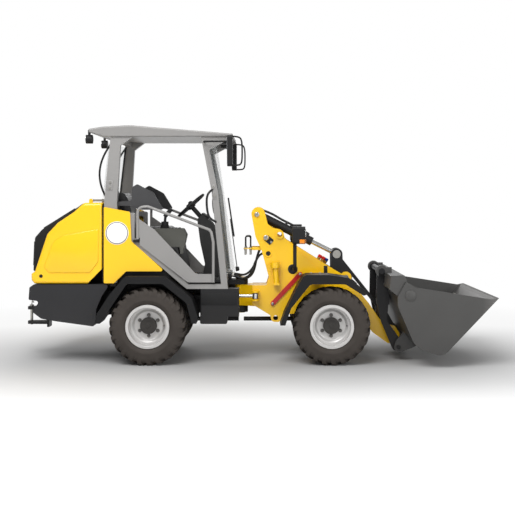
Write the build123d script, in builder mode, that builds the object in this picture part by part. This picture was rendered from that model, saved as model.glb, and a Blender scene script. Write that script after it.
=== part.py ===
"""Compact articulated wheel loader with canopy cab, parallel lift linkage and bucket.

Millimetres, +X to the front, +Y to the machine's left, +Z up, ground at Z = 0.
Stations along the machine are measured from the steering pivot, the vertical pin
that joins the rear and the front body.  The origin is on the ground, midway
between the tow hitch and the tip of the bucket.
"""

import math
import os

from build123d import *

os.makedirs("parts", exist_ok=True)

# Driving sizes of the whole machine
WHEELBASE = 1800
TYRE_RADIUS = 380
TYRE_WIDTH = 264
TRACK = 940
CAB_HALF_WIDTH = 480
HOOD_HALF_WIDTH = 490
BUCKET_HALF_WIDTH = 725
FLOOR_Z = 800
TOW_REAR_X = -2222
BUCKET_TIP_X = 2488

# Clearances: pins and flat seats, parts that move past each other
PIN_GAP = 0.3
RUN_GAP = 5

FRONT_AXLE_X = WHEELBASE / 2
REAR_AXLE_X = -WHEELBASE / 2
AXLE_Z = TYRE_RADIUS
WHEEL_Y = TRACK / 2

# The three drawing planes meet at the steering pivot on the ground
PIVOT_X = -(TOW_REAR_X + BUCKET_TIP_X) / 2
SIDE = Plane(origin=(PIVOT_X, 0, 0), x_dir=(1, 0, 0), z_dir=(0, -1, 0))
PLAN = Plane(origin=(PIVOT_X, 0, 0), x_dir=(1, 0, 0), z_dir=(0, 0, 1))
CROSS = Plane(origin=(PIVOT_X, 0, 0), x_dir=(0, 1, 0), z_dir=(1, 0, 0))


def rounded_face(rows):
    """Closed outline in the current sketch: rows of x, y and corner radius."""
    with BuildLine() as border:
        FilletPolyline(
            *[(x, y) for x, y, corner in rows],
            radius=[corner for x, y, corner in rows],
            close=True,
        )
    make_face(border.edges())


def plate(rows, y_low, y_high, mode=Mode.ADD):
    """Side-view outline (rows of x, z, corner radius) made solid from y_low to y_high."""
    with BuildSketch(SIDE.offset(-y_high)) as outline:
        rounded_face(rows)
    extrude(outline.sketch, amount=y_high - y_low, mode=mode)


def slab(rows, z_low, z_high, mode=Mode.ADD):
    """Plan-view outline (rows of x, y, corner radius) made solid from z_low to z_high."""
    with BuildSketch(PLAN.offset(z_low)) as outline:
        rounded_face(rows)
    extrude(outline.sketch, amount=z_high - z_low, mode=mode)


def block(x_span, y_span, z_span, mode=Mode.ADD):
    """Rectangular block between two stations on each axis."""
    corners = [(x, z, 0) for x, z in zip(x_span + x_span[::-1], (z_span[0],) * 2 + (z_span[1],) * 2)]
    plate(corners, y_span[0], y_span[1], mode)


def cross_pin(x, z, radius, y_low, y_high, mode=Mode.ADD):
    """Round pin, boss or bore across the machine."""
    with BuildSketch(SIDE.offset(-y_high)) as outline:
        with Locations((x, z)):
            Circle(radius)
    extrude(outline.sketch, amount=y_high - y_low, mode=mode)


def upright_pin(x, y, radius, z_low, z_high, mode=Mode.ADD):
    """Round pin, post or bore that stands upright."""
    with BuildSketch(PLAN.offset(z_low)) as outline:
        with Locations((x, y)):
            Circle(radius)
    extrude(outline.sketch, amount=z_high - z_low, mode=mode)


def rod(start, end, radius, mode=Mode.ADD):
    """Straight round bar between two points (x, y, z)."""
    first = PLAN.from_local_coords(Vector(*start))
    last = PLAN.from_local_coords(Vector(*end))
    with BuildSketch(Plane(origin=first, z_dir=last - first)) as outline:
        Circle(radius)
    extrude(outline.sketch, amount=(last - first).length, mode=mode)


def bent_tube(points, bend, radius):
    """Bent round tube along points (x, y, z) with one bend radius."""
    with BuildLine(PLAN) as route:
        FilletPolyline(*points, radius=bend)
    with BuildSketch(Plane(origin=route.line @ 0, z_dir=route.line % 0)) as outline:
        Circle(radius)
    sweep(outline.sketch, path=route.line)


def turned(rows, axis_x, y_sign=1):
    """Solid of revolution about an axle: rows of y, radius and corner radius."""
    with BuildSketch(CROSS.offset(axis_x)) as outline:
        rounded_face([(y * y_sign, AXLE_Z + radius, corner) for y, radius, corner in rows])
    centre = PLAN.from_local_coords(Vector(axis_x, 0, AXLE_Z))
    revolve(outline.sketch, axis=Axis(centre, (0, 1, 0)))


def save(builder, name):
    """Label a finished piece and write it as its own file."""
    builder.part.label = name
    export_step(builder.part, f"parts/{name}.step")


# Wheels: agricultural-lug tyre on a dished steel rim with a deep hub
BEAD_RADIUS = 197
FLANGE_RADIUS = 215
RIM_HALF_WIDTH = 114
FLANGE_THICKNESS = 11
RIM_WALL = 11
DISC_FACE = 4
DISC_THICKNESS = 12
HUB_RADIUS = 79
HUB_FACE = 45
SPINDLE_RADIUS = 45
SPINDLE_END = 10

SEAT = RIM_HALF_WIDTH - FLANGE_THICKNESS
BARREL_RADIUS = BEAD_RADIUS - PIN_GAP
BARREL_INSIDE = BARREL_RADIUS - RIM_WALL
DISC_BACK = DISC_FACE - DISC_THICKNESS
TYRE_SIDE = TYRE_WIDTH / 2

# Half section of the tyre: distance from its middle, radius, corner radius
TYRE_HALF = [
    (SEAT - PIN_GAP, BEAD_RADIUS, 0),
    (SEAT - PIN_GAP, FLANGE_RADIUS + 2, 0),
    (TYRE_SIDE, FLANGE_RADIUS + 45, 50),
    (TYRE_SIDE - 6, TYRE_RADIUS - 32, 25),
    (TYRE_SIDE - 28, TYRE_RADIUS, 14),
]
TYRE_SECTION = TYRE_HALF + [(-y, radius, corner) for y, radius, corner in TYRE_HALF[::-1]]

# Section of rim, disc and hub: distance outwards from the tyre's middle, radius, corner
RIM_SECTION = [
    (RIM_HALF_WIDTH, FLANGE_RADIUS, 3),
    (SEAT, FLANGE_RADIUS, 3),
    (SEAT, BARREL_RADIUS, 0),
    (-SEAT, BARREL_RADIUS, 0),
    (-SEAT, FLANGE_RADIUS, 3),
    (-RIM_HALF_WIDTH, FLANGE_RADIUS, 3),
    (-RIM_HALF_WIDTH, BARREL_INSIDE, 3),
    (DISC_BACK, BARREL_INSIDE, 0),
    (DISC_BACK, SPINDLE_RADIUS + PIN_GAP, 0),
    (SPINDLE_END + 2, SPINDLE_RADIUS + PIN_GAP, 0),
    (SPINDLE_END + 2, 0, 0),
    (HUB_FACE, 0, 0),
    (HUB_FACE, HUB_RADIUS, 8),
    (DISC_FACE, HUB_RADIUS, 0),
    (DISC_FACE, HUB_RADIUS + 60, 12),
    (DISC_FACE + 24, BARREL_INSIDE - 22, 12),
    (DISC_FACE + 24, BARREL_INSIDE, 0),
    (RIM_HALF_WIDTH, BARREL_INSIDE, 3),
]

# name, axle station, side of the machine
WHEELS = [
    ("front_right", FRONT_AXLE_X, -1),
    ("front_left", FRONT_AXLE_X, 1),
    ("rear_right", REAR_AXLE_X, -1),
    ("rear_left", REAR_AXLE_X, 1),
]

for wheel_name, axle_x, wheel_side in WHEELS:
    with BuildPart() as tyre:
        turned([(WHEEL_Y + y, radius, corner) for y, radius, corner in TYRE_SECTION], axle_x, wheel_side)
    save(tyre, f"tyre_{wheel_name}")

    with BuildPart() as rim:
        turned([(WHEEL_Y + y, radius, corner) for y, radius, corner in RIM_SECTION], axle_x, wheel_side)
    save(rim, f"rim_{wheel_name}")

# Axles: banjo housing with spindles, pinion nose towards the pivot, flat saddles on top
HOUSING_RADIUS = 60
DIFF_RADIUS = 122
FLANGE_END = WHEEL_Y + DISC_BACK - RUN_GAP
SADDLE_TOP = 450
SADDLE_Y = (122, 218)
PINION_RADIUS = 62
PINION_LENGTH = 190

AXLE_HALF = [
    (WHEEL_Y + SPINDLE_END, 0, 0),
    (WHEEL_Y + SPINDLE_END, SPINDLE_RADIUS, 2),
    (FLANGE_END, SPINDLE_RADIUS, 0),
    (FLANGE_END, SPINDLE_RADIUS + 42, 4),
    (FLANGE_END - 38, SPINDLE_RADIUS + 42, 4),
    (FLANGE_END - 52, HOUSING_RADIUS, 6),
    (120, HOUSING_RADIUS, 15),
    (78, DIFF_RADIUS, 20),
]
AXLE_SECTION = AXLE_HALF + [(-y, radius, corner) for y, radius, corner in AXLE_HALF[::-1]]

for axle_name, axle_x, nose_side in [("front_axle", FRONT_AXLE_X, -1), ("rear_axle", REAR_AXLE_X, 1)]:
    with BuildPart() as axle:
        turned(AXLE_SECTION, axle_x)
        rod((axle_x, 0, AXLE_Z), (axle_x + nose_side * PINION_LENGTH, 0, AXLE_Z), PINION_RADIUS)
        block((axle_x - 55, axle_x + 55), SADDLE_Y, (AXLE_Z, SADDLE_TOP))
        block((axle_x - 55, axle_x + 55), (-SADDLE_Y[1], -SADDLE_Y[0]), (AXLE_Z, SADDLE_TOP))
    save(axle, axle_name)

# Rear frame: side plates, narrow centre box and the fork that holds the steering pin
FRAME_Y = (190, 215)
FRAME_REAR_X = -1850
BULKHEAD_X = (-590, -560)
BOX_Y = (90, 110)
FORK_UPPER_Z = (745, 795)
FORK_LOWER_Z = (455, 520)
FORK_NOSE_RADIUS = 70
STEER_PIN_RADIUS = 40
FENDER_Y = (350, 600)
CAB_MOUNT_X = (-1285, -1225)
CAB_ARM_Z = (765, FLOOR_Z)
CAB_PAD_X = -610
CAB_PAD_RADIUS = 45
STEER_BASE = (-500, -200)
STEER_EYE = (150, -200)
STEER_Z = 640
STEER_LUG_Z = 34

FRAME_OUTLINE = [
    (FRAME_REAR_X, 480, 0),
    (FRAME_REAR_X, 690, 0),
    (-760, 690, 60),
    (-640, 795, 60),
    (BULKHEAD_X[1], 795, 0),
    (BULKHEAD_X[1], SADDLE_TOP, 0),
    (-1500, SADDLE_TOP, 40),
]
FORK_PLAN = [
    (BULKHEAD_X[1], -BOX_Y[1], 0),
    (-200, -BOX_Y[1], 80),
    (0, -FORK_NOSE_RADIUS, 0),
    (0, FORK_NOSE_RADIUS, 0),
    (-200, BOX_Y[1], 80),
    (BULKHEAD_X[1], BOX_Y[1], 0),
]

with BuildPart() as rear_frame:
    plate(FRAME_OUTLINE, *FRAME_Y)
    block((REAR_AXLE_X - 60, REAR_AXLE_X + 60), (FRAME_Y[0], FRAME_Y[1]), (690, 850))
    block((REAR_AXLE_X - 60, REAR_AXLE_X + 60), (FRAME_Y[1], FENDER_Y[0]), (825, 850))
    block((BULKHEAD_X[1] - 5, -260), BOX_Y, (FORK_LOWER_Z[0], FORK_UPPER_Z[1]))
    block(CAB_MOUNT_X, FRAME_Y, (690, FLOOR_Z))
    block(CAB_MOUNT_X, (FRAME_Y[0], CAB_HALF_WIDTH - 10), CAB_ARM_Z)
    upright_pin(CAB_PAD_X, sum(FRAME_Y) / 2, CAB_PAD_RADIUS, 720, FLOOR_Z)
    mirror(about=Plane.XZ)
    block((FRAME_REAR_X, FRAME_REAR_X + 30), (-FRAME_Y[1], FRAME_Y[1]), (480, 690))
    block(BULKHEAD_X, (-FRAME_Y[1], FRAME_Y[1]), (FORK_LOWER_Z[0], FORK_UPPER_Z[1]))
    for fork_low, fork_high in [FORK_UPPER_Z, FORK_LOWER_Z]:
        slab(FORK_PLAN, fork_low, fork_high)
        upright_pin(0, 0, FORK_NOSE_RADIUS, fork_low, fork_high)
    upright_pin(0, 0, STEER_PIN_RADIUS + PIN_GAP, FORK_LOWER_Z[0], FORK_UPPER_Z[1], Mode.SUBTRACT)
    for lug_z in (STEER_Z - STEER_LUG_Z - 16, STEER_Z + STEER_LUG_Z):
        slab(
            [
                (BULKHEAD_X[1], STEER_BASE[1] - 38, 0),
                (STEER_BASE[0] + 38, STEER_BASE[1] - 38, 36),
                (STEER_BASE[0] + 38, STEER_BASE[1] + 38, 36),
                (BULKHEAD_X[1], STEER_BASE[1] + 38, 0),
            ],
            lug_z,
            lug_z + 16,
        )
    upright_pin(*STEER_BASE, 20 + PIN_GAP, STEER_Z - 60, STEER_Z + 60, Mode.SUBTRACT)
save(rear_frame, "rear_frame")

# Counterweight: one casting behind the rear axle, with cheeks beside the frame
COUNTERWEIGHT_TOP = 785
COUNTERWEIGHT_Y = 480
HITCH_SEAT_X = -1990
HITCH_Y = 58

COUNTERWEIGHT_OUTLINE = [
    (-1289, COUNTERWEIGHT_TOP, 20),
    (-2033, COUNTERWEIGHT_TOP, 20),
    (-2077, 755, 15),
    (-2086, 632, 15),
    (-1976, 618, 20),
    (-2055, 517, 20),
    (-1963, 447, 40),
    (-1822, 421, 0),
    (-1434, 368, 25),
    (-1417, 544, 60),
    (-1364, 667, 0),
]

with BuildPart() as counterweight:
    plate(COUNTERWEIGHT_OUTLINE, -COUNTERWEIGHT_Y, COUNTERWEIGHT_Y)
    block((FRAME_REAR_X, -1200), (-FRAME_Y[1] - 7, FRAME_Y[1] + 7), (300, 900), Mode.SUBTRACT)
    block((-2300, HITCH_SEAT_X), (-HITCH_Y - 12, HITCH_Y + 12), (300, 626), Mode.SUBTRACT)
save(counterweight, "counterweight")

# Tow hitch: two jaw plates on a bolted back plate
TOW_PIN_X = -2186
TOW_PIN_RADIUS = 16
JAW_UPPER_Z = (480, 509)
JAW_LOWER_Z = (330, 359)

with BuildPart() as tow_hitch:
    block((HITCH_SEAT_X - 22, HITCH_SEAT_X), (-HITCH_Y, HITCH_Y), (300, 618))
    for jaw_low, jaw_high in (JAW_UPPER_Z, JAW_LOWER_Z):
        slab(
            [
                (HITCH_SEAT_X - 10, -HITCH_Y, 0),
                (HITCH_SEAT_X - 10, HITCH_Y, 0),
                (TOW_REAR_X, HITCH_Y - 12, 34),
                (TOW_REAR_X, -HITCH_Y + 12, 34),
            ],
            jaw_low,
            jaw_high,
        )
    upright_pin(TOW_PIN_X, 0, TOW_PIN_RADIUS, JAW_LOWER_Z[0], JAW_UPPER_Z[1], Mode.SUBTRACT)
save(tow_hitch, "tow_hitch")

# Engine: plain block on four feet that stand on the frame plates
ENGINE_X = (-1790, -1370)
ENGINE_Z = (540, 1180)
with BuildPart() as engine:
    block(ENGINE_X, (-FRAME_Y[0] + RUN_GAP, FRAME_Y[0] - RUN_GAP), ENGINE_Z)
    for foot_x in (-1700, -1450):
        block((foot_x - 40, foot_x + 40), (-FRAME_Y[1], FRAME_Y[1]), (690, 720))
save(engine, "engine")

# Engine hood: one-piece shell over engine and radiator, hinged near the cab
HOOD_WALL = 18
HOOD_BASE_Z = COUNTERWEIGHT_TOP + 7
HOOD_FRONT_X = -1358
HOOD_HINGE = (-1500, 1612)
HOOD_EYE = 18
HOOD_PIN = 10
HOOD_ARM_Y = (290, 316)
HOOD_EAR_Y = (320, 340)

HOOD_OUTLINE = [
    (HOOD_FRONT_X, 1590, 10),
    (HOOD_FRONT_X, 941, 0),
    (-1505, HOOD_BASE_Z, 0),
    (-2031, HOOD_BASE_Z, 12),
    (-2059, 827, 20),
    (-2061, 888, 15),
    (-2026, 912, 15),
    (-1905, 1280, 90),
    (-1800, 1392, 60),
    (-1640, 1500, 80),
    (-1540, 1590, 60),
]
HOOD_CAVITY = [
    (HOOD_FRONT_X + 10, 1590 - HOOD_WALL, 0),
    (HOOD_FRONT_X + 10, 700, 0),
    (-2031 + HOOD_WALL, 700, 0),
    (-2012, 912, 0),
    (-1888, 1276, 80),
    (-1786, 1378, 50),
    (-1630, 1482, 60),
    (-1530, 1590 - HOOD_WALL, 40),
]
GRILLE_Y = 340

with BuildPart() as engine_hood:
    plate(HOOD_OUTLINE, -HOOD_HALF_WIDTH, HOOD_HALF_WIDTH)
    crown = engine_hood.edges().filter_by(lambda edge: abs(edge.center().Y) > HOOD_HALF_WIDTH - 1)
    fillet(crown.filter_by(lambda edge: edge.center().Z > 1240), 30)
    plate(HOOD_CAVITY, -HOOD_HALF_WIDTH + HOOD_WALL, HOOD_HALF_WIDTH - HOOD_WALL, Mode.SUBTRACT)
    block((-2200, -1850), (-GRILLE_Y, GRILLE_Y), (930, 1230), Mode.SUBTRACT)
    for ear_side in (-1, 1):
        ear_y = sorted(ear_side * y for y in HOOD_EAR_Y)
        hinge_pin_y = sorted((ear_side * HOOD_ARM_Y[0], ear_side * HOOD_EAR_Y[1]))
        block((HOOD_HINGE[0] - HOOD_EYE, HOOD_HINGE[0] + HOOD_EYE), ear_y, (1580, HOOD_HINGE[1]))
        cross_pin(*HOOD_HINGE, HOOD_EYE, *ear_y)
        cross_pin(*HOOD_HINGE, HOOD_PIN, *hinge_pin_y)
save(engine_hood, "engine_hood")

# Rear grille: slatted insert that fills the hood's rear opening
with BuildPart() as hood_grille:
    for slat in range(8):
        slat_z = 944 + slat * 38
        slat_x = -2010 + (slat_z - 912) * 0.329
        rod((slat_x, -GRILLE_Y, slat_z), (slat_x, GRILLE_Y, slat_z), 9)
    for rail_y in (-220, 0, 220):
        rod((-1999, rail_y, 938), (-1907, rail_y, 1222), 9)
save(hood_grille, "hood_grille")

# Side panels: sheet covers between hood and door, one each side
PANEL_Y = (CAB_HALF_WIDTH, CAB_HALF_WIDTH + 18)
PANEL_OUTLINE = [
    (-1340, 1549, 12),
    (-1082, 1500, 20),
    (-1068, 1210, 20),
    (-740, 915, 15),
    (-1120, 915, 25),
    (-1241, 797, 0),
    (-1340, 797, 12),
]
with BuildPart() as side_panels:
    plate(PANEL_OUTLINE, *PANEL_Y)
    mirror(about=Plane.XZ)
save(side_panels, "side_panels")

# Fenders: bent bands over the tyres, front pair with the swept tail
REAR_FENDER = [
    (-1412, 414, 0),
    (-1383, 518, 60),
    (-1271, 690, 0),
    (-1120, 872, 60),
    (-730, 872, 60),
    (-466, 660, 60),
    (-407, 474, 60),
    (-421, 414, 0),
    (-466, 414, 0),
    (-518, 615, 50),
    (-752, 801, 40),
    (-1099, 801, 40),
    (-1360, 414, 0),
]
FRONT_FENDER = [
    (396, 396, 0),
    (434, 510, 80),
    (564, 779, 0),
    (630, 888, 60),
    (871, 888, 0),
    (1060, 860, 90),
    (1260, 703, 12),
    (1206, 686, 12),
    (1030, 797, 60),
    (690, 797, 50),
    (500, 560, 0),
    (445, 396, 0),
]
for fender_name, fender_outline in [("rear_fenders", REAR_FENDER), ("front_fenders", FRONT_FENDER)]:
    with BuildPart() as fender:
        plate(fender_outline, *FENDER_Y)
        mirror(about=Plane.XZ)
    save(fender, fender_name)

# Cab frame: two A-pillars, two B-pillars, sills and cross members
PILLAR_Y = (420, CAB_HALF_WIDTH)
SILL_Z = 740
ROOF_SEAT_Z = 2240

# Each row: side-view outline of one member of a cab side
CAB_MEMBERS = [
    [
        (-119, SILL_Z, 0), (-219, 1700, 300), (-331, ROOF_SEAT_Z, 0),
        (-385, ROOF_SEAT_Z, 0), (-280, 1700, 300), (-182, SILL_Z, 0),
    ],
    [
        (-1340, FLOOR_Z, 0), (-1340, 1599, 200), (-1277, ROOF_SEAT_Z, 0),
        (-1176, ROOF_SEAT_Z, 0), (-1214, 1599, 200), (-1214, FLOOR_Z, 0),
    ],
    [
        (-1240, 1350, 0), (-527, SILL_Z, 25), (-130, SILL_Z, 0),
        (-130, 786, 0), (-509, 786, 25), (-1240, 1410, 0),
    ],
    [
        (-1240, 1440, 0), (-1240, 1496, 0), (-1040, 1490, 20),
        (-1040, 1165, 0), (-1080, 1200, 0), (-1080, 1440, 20),
    ],
    [(-312, 2110, 10), (-71, ROOF_SEAT_Z + 2, 0), (-385, ROOF_SEAT_Z, 0)],
    [(-1190, 2150, 8), (-1072, ROOF_SEAT_Z, 0), (-1200, ROOF_SEAT_Z, 0)],
]

with BuildPart() as cab_frame:
    for member in CAB_MEMBERS:
        plate(member, *PILLAR_Y)
    block((HOOD_HINGE[0], -1310), HOOD_ARM_Y, (HOOD_HINGE[1] - 10, HOOD_HINGE[1] + 12))
    cross_pin(*HOOD_HINGE, HOOD_EYE, *HOOD_ARM_Y)
    cross_pin(*HOOD_HINGE, HOOD_PIN + PIN_GAP, *HOOD_ARM_Y, Mode.SUBTRACT)
    mirror(about=Plane.XZ)
    block((-1330, -1285), (-PILLAR_Y[0], PILLAR_Y[0]), (1602, 1640))
    block((-1250, -1205), (-PILLAR_Y[0], PILLAR_Y[0]), (ROOF_SEAT_Z - 45, ROOF_SEAT_Z))
    block((-180, -130), (-PILLAR_Y[0], PILLAR_Y[0]), (SILL_Z + 60, SILL_Z + 130))
    block((-372, -340), (-PILLAR_Y[0], PILLAR_Y[0]), (ROOF_SEAT_Z - 40, ROOF_SEAT_Z))
save(cab_frame, "cab_frame")

# Roof: shallow moulded cap on the pillars with overhangs front and rear
ROOF_HALF_WIDTH = 500
ROOF_OUTLINE = [
    (-71, ROOF_SEAT_Z + 2, 0),
    (-71, 2272, 8),
    (-338, 2294, 200),
    (-1088, 2355, 300),
    (-1355, 2340, 60),
    (-1491, 2318, 8),
    (-1491, 2285, 8),
    (-1340, ROOF_SEAT_Z, 20),
    (-385, ROOF_SEAT_Z, 0),
]
with BuildPart() as cab_roof:
    plate(ROOF_OUTLINE, -ROOF_HALF_WIDTH, ROOF_HALF_WIDTH)
    roof_rim = cab_roof.edges().filter_by(lambda edge: abs(edge.center().Y) > ROOF_HALF_WIDTH - 1)
    fillet(roof_rim.filter_by(lambda edge: edge.center().Z > 2300), 14)
save(cab_roof, "cab_roof")

# Glass: windscreen and rear window, each one bowed pane between its pillars
GLASS = 6
GLASS_HALF_WIDTH = PILLAR_Y[0] - PIN_GAP

# name, edge station at the foot, foot height, edge station at the head, head height, bow
PANES = [
    ("windscreen", -152, FLOOR_Z + 74, -345, 2198, 92),
    ("rear_window", -1330, 1642, -1268, 2192, -95),
]
for pane_name, foot_x, foot_z, head_x, head_z, bow in PANES:
    with BuildPart() as pane:
        with BuildSketch(PLAN.offset(foot_z)) as bow_section:
            with BuildLine():
                outer = ThreePointArc(
                    (foot_x, -GLASS_HALF_WIDTH), (foot_x + bow, 0), (foot_x, GLASS_HALF_WIDTH)
                )
                inner = ThreePointArc(
                    (foot_x - GLASS, -GLASS_HALF_WIDTH), (foot_x + bow - GLASS, 0),
                    (foot_x - GLASS, GLASS_HALF_WIDTH),
                )
                Line(outer @ 0, inner @ 0)
                Line(outer @ 1, inner @ 1)
            make_face()
        lean = Vector(head_x - foot_x, 0, head_z - foot_z)
        extrude(bow_section.sketch, amount=lean.length, dir=lean.normalized())
    save(pane, pane_name)

# Cab floor: bent sheet from the footwell over the seat riser to the rear wall
SHEET = 20
DECK_Z = 1150
CAB_REAR_X = -1300
FLOOR_SHEET = [
    (-180, FLOOR_Z, 0),
    (-180, FLOOR_Z + SHEET, 0),
    (-560, FLOOR_Z + SHEET, 25),
    (-620, DECK_Z, 25),
    (CAB_REAR_X, DECK_Z, 25),
    (CAB_REAR_X, 1600, 0),
    (CAB_REAR_X - SHEET, 1600, 0),
    (CAB_REAR_X - SHEET, DECK_Z - SHEET, 45),
    (-637, DECK_Z - SHEET, 45),
    (-577, FLOOR_Z, 45),
]
with BuildPart() as cab_floor:
    plate(FLOOR_SHEET, -PILLAR_Y[0], PILLAR_Y[0])
save(cab_floor, "cab_floor")

# Seat: pedestal on the deck, cushion and reclined backrest
SEAT_HALF_WIDTH = 235
SEAT_PAN_Z = 1245
CUSHION_TOP = 1338
with BuildPart() as seat_base:
    plate(
        [(-745, DECK_Z, 0), (-760, SEAT_PAN_Z, 15), (-1185, SEAT_PAN_Z, 15), (-1165, DECK_Z, 0)],
        -SEAT_HALF_WIDTH + 20,
        SEAT_HALF_WIDTH - 20,
    )
save(seat_base, "seat_base")

with BuildPart() as seat_cushion:
    plate(
        [
            (-690, SEAT_PAN_Z + 10, 25), (-690, CUSHION_TOP, 30),
            (-1098, CUSHION_TOP - 15, 20), (-1098, SEAT_PAN_Z + PIN_GAP, 0), (-760, SEAT_PAN_Z + PIN_GAP, 0),
        ],
        -SEAT_HALF_WIDTH,
        SEAT_HALF_WIDTH,
    )
save(seat_cushion, "seat_cushion")

with BuildPart() as seat_backrest:
    plate(
        [
            (-1103, SEAT_PAN_Z + PIN_GAP, 0), (-1095, 1400, 60), (-1150, 1620, 0), (-1200, 1708, 25),
            (-1256, 1704, 20), (-1262, 1640, 30), (-1195, 1400, 60), (-1172, SEAT_PAN_Z + PIN_GAP, 0),
        ],
        -SEAT_HALF_WIDTH,
        SEAT_HALF_WIDTH,
    )
save(seat_backrest, "seat_backrest")

# Side restraints: shoulder-height guard panels carried by arms on the B-pillars
GUARD_Y = (424, 440)
GUARD_OUTLINE = [
    (-1213, 1560, 0),
    (-1213, 1600, 0),
    (-1075, 1610, 30),
    (-1070, 1745, 25),
    (-1020, 1776, 25),
    (-860, 1690, 60),
    (-757, 1520, 14),
    (-1010, 1520, 25),
    (-1060, 1560, 25),
]
with BuildPart() as side_restraints:
    plate(GUARD_OUTLINE, *GUARD_Y)
    mirror(about=Plane.XZ)
save(side_restraints, "side_restraints")

# Control console right of the seat, with its joystick
CONSOLE_Y = (-410, -262)
CONSOLE_TOP = 1334
JOYSTICK = (-757, -336)
with BuildPart() as control_console:
    plate(
        [
            (-870, DECK_Z, 0), (-860, CONSOLE_TOP, 15), (-566, CONSOLE_TOP, 25),
            (-533, 1270, 25), (-575, 1080, 8), (-596, 1080, 4), (-600, DECK_Z, 0),
        ],
        *CONSOLE_Y,
    )
save(control_console, "control_console")

with BuildPart() as joystick:
    rod((*JOYSTICK, CONSOLE_TOP), (*JOYSTICK, CONSOLE_TOP + 66), 36)
    rod((*JOYSTICK, CONSOLE_TOP + 60), (JOYSTICK[0] + 6, JOYSTICK[1], 1466), 13)
    rod((JOYSTICK[0] - 2, JOYSTICK[1], 1450), (JOYSTICK[0] + 66, JOYSTICK[1], 1528), 21)
save(joystick, "joystick")

# Steering column with its tilted wheel
WHEEL_CENTRE = Vector(-526, 0, 1558)
WHEEL_HUB_LENGTH = 60
STEERING_RADIUS = 170
STEERING_GRIP = 13
WHEEL_NORMAL = Vector(-0.664, 0, 0.748).normalized()
with BuildPart() as steering_column:
    plate(
        [
            (-245, FLOOR_Z + SHEET, 0), (-228, 1210, 60), (-290, 1372, 60), (-400, 1470, 20),
            (-452, 1420, 20), (-420, 1180, 120), (-372, 960, 0), (-400, FLOOR_Z + SHEET, 0),
        ],
        -110,
        110,
    )
    rod(
        tuple(WHEEL_CENTRE - WHEEL_NORMAL * (WHEEL_HUB_LENGTH / 2 + 130)),
        tuple(WHEEL_CENTRE - WHEEL_NORMAL * (WHEEL_HUB_LENGTH / 2)),
        24,
    )
save(steering_column, "steering_column")

with BuildPart() as steering_wheel:
    wheel_hub = PLAN.from_local_coords(WHEEL_CENTRE)
    wheel_plane = Plane(origin=wheel_hub, x_dir=(0, 1, 0), z_dir=WHEEL_NORMAL)
    with Locations(wheel_plane.location):
        Torus(STEERING_RADIUS, STEERING_GRIP)
        Cylinder(42, WHEEL_HUB_LENGTH)
        with PolarLocations(STEERING_RADIUS / 2, 3, start_angle=90):
            Box(STEERING_RADIUS, 26, 12)
save(steering_wheel, "steering_wheel")

# Rear-view mirrors on bent arms from the A-pillars
MIRROR_Y = (520, 690)
MIRROR_ARM_Z = 2190
with BuildPart() as mirrors:
    bent_tube(
        [
            (-352, CAB_HALF_WIDTH, MIRROR_ARM_Z), (-352, 545, MIRROR_ARM_Z),
            (-150, 575, MIRROR_ARM_Z), (-95, 600, MIRROR_ARM_Z),
        ],
        25,
        9,
    )
    block((-118, -68), MIRROR_Y, (1946, 2244))
    fillet(mirrors.edges().filter_by(Axis.X).group_by(SortBy.LENGTH)[-1], 22)
    mirror(about=Plane.XZ)
save(mirrors, "mirrors")

# Work lights on the rear edge of the roof
with BuildPart() as work_lights:
    for lamp_y in (-400, 400):
        rod((-1532, lamp_y, 2222), (-1470, lamp_y, 2222), 44)
        block((-1513, -1491), (lamp_y - 14, lamp_y + 14), (2255, 2314))
save(work_lights, "work_lights")

# Tank and battery boxes under the cab, each with a lower step
BOX_INNER_Y = 330
with BuildPart() as step_boxes:
    block((-394, -10), (BOX_INNER_Y, CAB_HALF_WIDTH), (466, SILL_Z))
    fillet(step_boxes.edges().filter_by(Axis.Z), 14)
    plate(
        [(-394, 466, 0), (-125, 466, 0), (-125, 394, 18), (-394, 394, 18)],
        BOX_INNER_Y + 30,
        CAB_HALF_WIDTH,
    )
    mirror(about=Plane.XZ)
save(step_boxes, "step_boxes")

# Doors: low sheet panel in a bent tube frame, hung on a post behind the driver's knee
DOOR_POST = (-1007, 500)
DOOR_TUBE = 14
DOOR_SHEET_Y = (486, 500)
DOOR_FOOT_Z = 1232
HINGE_Z = (1200, 1226)
HINGE_PIN = 8
DOOR_FRAME = [
    (DOOR_POST[0], DOOR_FOOT_Z),
    (DOOR_POST[0], 1545),
    (-905, 1553),
    (-285, 1318),
    (-262, 1200),
    (-262, 806),
]
DOOR_PANEL = [
    (-985, 1172, 0),
    (-512, 806, 30),
    (-250, 806, 0),
    (-250, 888, 0),
    (-432, 888, 60),
    (-837, 1321, 60),
    (DOOR_POST[0], 1440, 0),
    (DOOR_POST[0], DOOR_FOOT_Z + 13, 0),
    (-985, DOOR_FOOT_Z + 13, 0),
]
for door_name, door_side in [("door_right", -1), ("door_left", 1)]:
    with BuildPart() as door:
        bent_tube([(x, door_side * DOOR_POST[1], z) for x, z in DOOR_FRAME], 60, DOOR_TUBE)
        plate(DOOR_PANEL, *sorted(door_side * y for y in DOOR_SHEET_Y))
        upright_pin(
            DOOR_POST[0], door_side * DOOR_POST[1], HINGE_PIN + PIN_GAP,
            DOOR_FOOT_Z - 5, DOOR_FOOT_Z + 42, Mode.SUBTRACT,
        )
    save(door, door_name)

# Door hinges: a pintle under each post, bolted to the cab side
with BuildPart() as door_hinges:
    block((-1050, -993), (CAB_HALF_WIDTH, DOOR_POST[1] + 13), HINGE_Z)
    upright_pin(*DOOR_POST, HINGE_PIN, HINGE_Z[1], DOOR_FOOT_Z + 40)
    mirror(about=Plane.XZ)
save(door_hinges, "door_hinges")

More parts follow.
